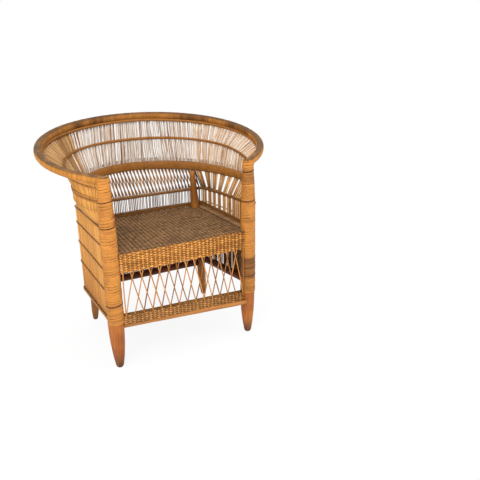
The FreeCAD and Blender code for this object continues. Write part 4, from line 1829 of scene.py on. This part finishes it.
@dataclass
class SeatWeave(PlainWeave):
    """The woven seat, whose ribs run to the back, and the short strands that bind it to the side rails.

    A bend of a short strand is a share of its lean and a rise above the seat.
    """

    row_pitch: float = 0.0056
    per_rib: int = 4
    crown: float = 2.2
    front: float = -0.2636
    rear: float = 0.1636
    rail_cover: float = 0.004
    border: float = 0.020
    border_lean: float = 0.009
    border_pitch: float = 0.0078
    border_half: float = 0.0033
    border_thick: float = 0.0012
    border_tones: Range = (0.45, 0.95)
    border_crest: float = 0.004
    border_bends: tuple[Range, ...] = ((1.0, -0.0016), (0.8, 0.0016), (-1.0, 0.0010))
    post_height: float = 0.43
    post_share: float = 0.7
    rear_past: float = 0.012
    wall_gap: float = 0.0046
    seed: int = 97

    def build(self) -> None:
        """Models the seat and its edges and dresses them."""
        draw = random.Random(self.seed)
        finish = CaneFinish(
            "seat_weave", (56, 38, 20), (162, 121, 78), (44, 30, 16), seam_start=0.74, seam_depth=0.9,
            stain=(96, 66, 40), stain_depth=0.45, stain_scale=10.0, fibre_stretch=14.0,
            roughness=0.6, sheen=0.2,
        ).build()
        strands = Strands("woven_seat")
        reach = PLAN.front_x + self.rail_cover
        self.weave(strands, self.seat_place, reach, self.rear - self.front, 0.0, draw)
        for side, _ in SIDES:
            self.edge(strands, side, draw)
        strands.dress("seat_weave_cane", finish, "seat_weave")

    def seat_place(self, x: float, back: float) -> Spot:
        """Place and outward direction on the seat, which narrows a little to the back.

        Args:
            x: place across the seat's front.
            back: distance from the front.

        Returns:
            The place and the direction.
        """
        y = self.front + back
        narrow = between(PLAN.front_x, PLAN.rear_x, PLAN.depth_share(y)) / PLAN.front_x
        return Vector((x * narrow, y, PLAN.seat.z(y) - self.wave - self.half_thick)), UP

    def edge(self, strands: Strands, side: int, draw: random.Random) -> None:
        """Adds the short strands that bind the seat to a side rail.

        Args:
            strands: the mesh they go into.
            side: -1 for the left edge, 1 for the right one.
            draw: source of their tones.
        """
        start = PLAN.front_y + PLAN.post_radius(self.post_height) * self.post_share
        end = PLAN.rear_y + self.rear_past
        front_wall, rear_wall = PLAN.front_x + PLAN.front_wall_offset, PLAN.rear_x + PLAN.rear_wall_offset
        count = round((end - start) / self.border_pitch)
        for i in range(count):
            y = between(start, end, (i + 0.5) / count)
            share = PLAN.depth_share(y)
            outer = between(front_wall, rear_wall, share) - PLAN.wall_half - self.wall_gap
            inner = between(PLAN.front_x, PLAN.rear_x, share) - self.border
            line = []
            for x, (lean, rise) in zip((inner, inner + self.border_crest, outer), self.border_bends):
                line.append(Vector((side * x, y + self.border_lean * lean, PLAN.seat.z(y) + rise)))
            tone = draw.uniform(*self.border_tones)
            strands.sweep(line, [UP] * 3, self.border_half, self.border_thick, tone, self.sides, self.square)


@dataclass
class FrontWeave(PlainWeave):
    """The woven apron under the seat's front edge and the band before the front stretcher."""

    crest: float = 0.006
    apron_top: float = 0.4335
    apron_low: float = 0.3645
    apron_flat: float = 0.016
    face_y: float = -0.2694
    band_half: float = 0.0165
    band_lift_shade: float = 0.40
    painted_right_shade: float = 0.32
    bend: float = 0.022
    bend_depth: float = 0.010
    post_height: float = 0.3
    post_lap: float = 0.003
    seed: int = 109
    reach: float = field(init=False)
    top: float = field(init=False)

    def __post_init__(self) -> None:
        """Works out where the rows meet the posts and how high the roll over the seat's edge lies."""
        depth = self.face_y + self.bend_depth - PLAN.front_y
        across = math.sqrt(PLAN.post_radius(self.post_height) ** 2 - depth ** 2)
        self.reach = PLAN.front_x - across + self.post_lap
        self.top = self.apron_top - self.wave - self.half_thick - self.crest

    def build(self) -> None:
        """Models the apron and the lower band and dresses them."""
        draw = random.Random(self.seed)
        apron_finish = WeaveFinish(
            "apron_weave", (138, 84, 32), (246, 172, 84), (112, 68, 28), stain=(150, 96, 46)
        ).build()
        band_finish = WeaveFinish(
            "band_weave", (122, 78, 36), (210, 150, 84), (98, 62, 28), stain=(116, 76, 40), stain_depth=0.35
        ).build()
        apron = Strands("woven_apron")
        length = self.crest * math.pi / 2 + self.top - self.apron_low
        self.weave(apron, self.apron_place, self.reach, length, self.apron_flat, draw)
        apron.dress("apron_weave_cane", apron_finish, "front_apron")
        band = Strands("woven_band")
        self.lift_shade = self.band_lift_shade
        self.weave(band, self.band_place, self.reach, 2 * self.band_half, 0.0, draw)
        band.dress("apron_weave_cane", band_finish, "front_lower_band")

    def face(self, x: float) -> float:
        """Depth of the weave at x: its ends bend back to the posts."""
        return self.face_y + self.bend_depth * max(0.0, (abs(x) - self.reach) / self.bend + 1) ** 2

    def apron_place(self, x: float, down: float) -> Spot:
        """Place and outward direction on the apron, which rolls over the seat's front edge.

        Args:
            x: place across the chair.
            down: distance from the edge on the seat, over the roll and down.

        Returns:
            The place and the direction.
        """
        turn = min(down / self.crest, math.pi / 2)
        out = Vector((0.0, -math.sin(turn), math.cos(turn)))
        centre = Vector((x, self.face(x) + self.crest, self.top))
        fall = max(0.0, down - self.crest * math.pi / 2)
        return centre + out * self.crest - UP * fall, out

    def band_place(self, x: float, down: float) -> Spot:
        """Place and outward direction on the lower band, at a distance down from its upper edge."""
        return Vector((x, self.face(x), PLAN.front_band(x) + self.band_half - down)), FRONT


@dataclass
class FrontCanes:
    """The lattice between the apron and the lower band, and the batten under that band."""

    pitch: float = 0.033
    pair_gap: float = 0.016
    lean: float = 1.06
    half: float = 0.0021
    thickness: Range = (0.85, 1.1)
    bow: Range = (-0.0022, 0.0022)
    lattice_y: float = -0.2680
    layer_depth: float = 0.0018
    lattice_top: float = 0.372
    foot_rise: float = 0.010
    post_gap: float = 0.003
    steps: int = 7
    sides: int = 6
    batten: float = 0.009
    batten_heights: Range = (0.1645, 0.1435)
    batten_before_post: float = 0.006
    batten_y: float = -0.2720
    batten_inset: float = 0.022
    batten_end: float = 0.018
    batten_steps: int = 14
    batten_sides: int = 12
    batten_square: float = 0.9
    batten_swell: float = 0.03
    batten_waves: float = 1.7
    batten_tip: float = 0.8
    batten_tone: float = 0.6
    seed: int = 127
    edge: float = field(init=False)

    def __post_init__(self) -> None:
        """Works out the furthest place of the lattice beside the posts."""
        self.edge = PLAN.front_x - PLAN.post_radius(PLAN.leg_top) - self.post_gap

    def build(self) -> None:
        """Models the lattice and the batten and dresses them."""
        draw = random.Random(self.seed)
        finish = CaneFinish(
            "lattice_cane", (144, 90, 40), (220, 152, 78), (92, 58, 26), seam_start=0.95, fibre_stretch=12.0
        ).build()
        lattice = Strands("lattice")
        count = int((self.edge - self.pair_gap / 2) / self.pitch)
        for i in range(-count, count + 1):
            for way in (-1, 1):
                top = i * self.pitch + way * self.pair_gap / 2
                foot = i * self.pitch - way * self.lean * self.pitch
                self.cane(lattice, top, foot, way, draw)
        for side, _ in SIDES:
            self.cane(lattice, side * self.edge, side * self.edge, 0, draw)
        lattice.dress("lattice_cane", finish, "front_lattice")
        finish = CaneFinish(
            "batten_cane", (146, 88, 38), (204, 138, 72), (96, 60, 28), seam_start=0.95, stain_depth=0.5,
            fibre_stretch=8.0, fibre_fine=420.0,
        ).build()
        batten = Strands("batten")
        self.rod(batten)
        batten.dress("batten_cane", finish, "front_batten")

    def rod(self, strands: Strands) -> None:
        """Adds the batten, from the side of the left post to the near edge of the right one.

        Args:
            strands: the mesh it goes into.
        """
        left, right = self.batten_heights
        start = Vector((-PLAN.front_x, PLAN.front_y - self.batten_before_post, left))
        end = Vector((PLAN.front_x - self.batten_end, self.batten_y, right))
        start = start + (end - start).normalized() * self.batten_inset
        numbers = range(self.batten_steps + 1)
        line = [start.lerp(end, i / self.batten_steps) for i in numbers]
        halves = [self.batten * (1 + self.batten_swell * math.sin(self.batten_waves * i)) for i in numbers]
        halves[-1] *= self.batten_tip
        outs = [FRONT] * len(line)
        strands.sweep(line, outs, halves, halves, self.batten_tone, self.batten_sides, self.batten_square)

    def cane(self, strands: Strands, top_x: float, foot_x: float, layer: int, draw: random.Random) -> None:
        """Adds one thin cane of the lattice.

        Args:
            strands: the mesh it goes into.
            top_x: its place under the apron.
            foot_x: its place on the lower band.
            layer: -1 in front, 1 behind, 0 between.
            draw: source of its bow and tone.
        """
        foot_x = clamped(foot_x, -self.edge, self.edge)
        depth = self.lattice_y + layer * self.layer_depth
        top = Vector((top_x, depth, self.lattice_top))
        foot = Vector((foot_x, depth, PLAN.front_band(foot_x) + self.foot_rise))
        bow = draw.uniform(*self.bow)
        line = []
        for i in range(self.steps + 1):
            share = i / self.steps
            line.append(top.lerp(foot, share) + Vector((bow * math.sin(math.pi * share), 0.0, 0.0)))
        half = self.half * draw.uniform(*self.thickness)
        strands.sweep(line, [FRONT] * len(line), half, half, draw.random(), self.sides)


@dataclass
class Studio:
    """Pale floor, soft light and the camera."""

    lens: float = 40.78
    sensor: float = 36.0
    azimuth: float = -28.702
    elevation: float = 20.797
    roll: float = -0.096
    eye: tuple[float, float, float] = (-0.683, -1.91244, 1.114)
    clip: float = 60.0
    sky: float = 0.62
    floor_size: float = 20.0
    floor_grey: float = 0.90
    floor_glow: float = 0.89
    white_span: Range = (0.45, 1.3)
    aim: tuple[float, float, float] = (0.0, 0.0, 0.4)

    def build(self) -> None:
        """Sets up the whole studio."""
        bpy.context.scene.view_settings.view_transform = "Standard"
        self.camera()
        self.world()
        self.floor()
        self.lamp("key", (-1.9, -2.3, 2.7), 2.4, 96.0)
        self.lamp("fill", (2.2, -1.6, 1.8), 2.2, 30.0)
        self.lamp("top", (0.1, 0.4, 3.2), 2.6, 44.0)

    def camera(self) -> None:
        """Places the camera at the photograph's viewing angle."""
        data = bpy.data.cameras.new("camera")
        data.lens = self.lens
        data.sensor_width = self.sensor
        data.clip_end = self.clip
        camera = bpy.data.objects.new("camera", data)
        az, el = math.radians(self.azimuth), math.radians(self.elevation)
        back = Vector((math.sin(az) * math.cos(el), -math.cos(az) * math.cos(el), math.sin(el)))
        right = Vector((math.cos(az), math.sin(az), 0.0))
        up = back.cross(right)
        turn = Matrix((right, up, back)).transposed().to_4x4()
        roll = Matrix.Rotation(math.radians(self.roll), 4, "Z")
        camera.matrix_world = Matrix.Translation(self.eye) @ turn @ roll
        bpy.context.scene.collection.objects.link(camera)
        bpy.context.scene.camera = camera

    def world(self) -> None:
        """White behind the object, softer light on it."""
        world = bpy.data.worlds.new("world")
        bpy.context.scene.world = world
        world.use_nodes = True
        nodes, links = world.node_tree.nodes, world.node_tree.links
        nodes.clear()
        strength = nodes.new("ShaderNodeMapRange")
        strength.inputs["To Min"].default_value = self.sky
        strength.inputs["To Max"].default_value = 1.0
        links.new(self.seen(nodes, links), strength.inputs["Value"])
        background = nodes.new("ShaderNodeBackground")
        background.inputs["Color"].default_value = (1.0, 1.0, 1.0, 1.0)
        links.new(strength.outputs["Result"], background.inputs["Strength"])
        output = nodes.new("ShaderNodeOutputWorld")
        links.new(background.outputs[0], output.inputs["Surface"])

    @staticmethod
    def seen(nodes: bpy.types.Nodes, links: bpy.types.NodeLinks) -> bpy.types.NodeSocket:
        """Picks the rays that show the background: from the camera, by gloss or by transmission.

        Args:
            nodes: nodes of the world or material.
            links: its links.

        Returns:
            A socket that is 1 for these rays and 0 for the others.
        """
        path = nodes.new("ShaderNodeLightPath")
        total = path.outputs["Is Camera Ray"]
        for name in ("Is Glossy Ray", "Is Transmission Ray"):
            node = nodes.new("ShaderNodeMath")
            node.operation = "MAXIMUM"
            links.new(total, node.inputs[0])
            links.new(path.outputs[name], node.inputs[1])
            total = node.outputs[0]
        return total

    def floor(self) -> None:
        """Pale floor that keeps the object's shadow and goes over into white further out."""
        mesh = bmesh.new()
        bmesh.ops.create_grid(mesh, x_segments=1, y_segments=1, size=self.floor_size)
        data = bpy.data.meshes.new("floor")
        mesh.to_mesh(data)
        mesh.free()
        floor = bpy.data.objects.new("floor", data)
        bpy.context.scene.collection.objects.link(floor)
        graph = Graph("floor")
        diffuse = graph.add("ShaderNodeBsdfDiffuse")
        diffuse.inputs["Color"].default_value = (self.floor_grey,) * 3 + (1.0,)
        glow = graph.add("ShaderNodeEmission")
        glow.inputs["Color"].default_value = (1.0, 1.0, 1.0, 1.0)
        distance = graph.add("ShaderNodeVectorMath", operation="LENGTH")
        graph.feed(distance.inputs[0], graph.place())
        far = graph.span(distance.outputs["Value"], self.white_span)
        share = graph.sum("ADD", graph.sum("MULTIPLY", far, 1.0 - self.floor_glow), self.floor_glow)
        share = graph.sum("MULTIPLY", share, self.seen(graph.nodes, graph.links))
        mixer = graph.add("ShaderNodeMixShader")
        graph.feed(mixer.inputs[0], share)
        graph.links.new(diffuse.outputs[0], mixer.inputs[1])
        graph.links.new(glow.outputs[0], mixer.inputs[2])
        output = graph.add("ShaderNodeOutputMaterial")
        graph.links.new(mixer.outputs[0], output.inputs["Surface"])
        data.materials.append(graph.material)

    def lamp(self, name: str, place: tuple[float, float, float], size: float, power: float) -> None:
        """Adds a soft lamp that looks at the chair's middle.

        Args:
            name: its name.
            place: where it stands.
            size: side of its square.
            power: its power in watts.
        """
        data = bpy.data.lights.new(name, "AREA")
        data.size = size
        data.energy = power
        lamp = bpy.data.objects.new(name, data)
        aim = Vector(self.aim) - Vector(place)
        lamp.matrix_world = Matrix.Translation(place) @ aim.to_track_quat("-Z", "Y").to_matrix().to_4x4()
        bpy.context.scene.collection.objects.link(lamp)


def main() -> None:
    """Builds the chair piece by piece and sets up the studio."""
    logging.basicConfig(level=logging.INFO, format="%(name)s: %(message)s")
    frame_parts = (Posts(), Rails(), PostWinding())
    wall_parts = (WallReeds(), Bands(), Rim())
    seat_parts = (SeatWeave(), FrontWeave(), FrontCanes())
    for part in frame_parts + wall_parts + seat_parts:
        part.build()
    Studio().build()


if __name__ == "__main__":
    main()
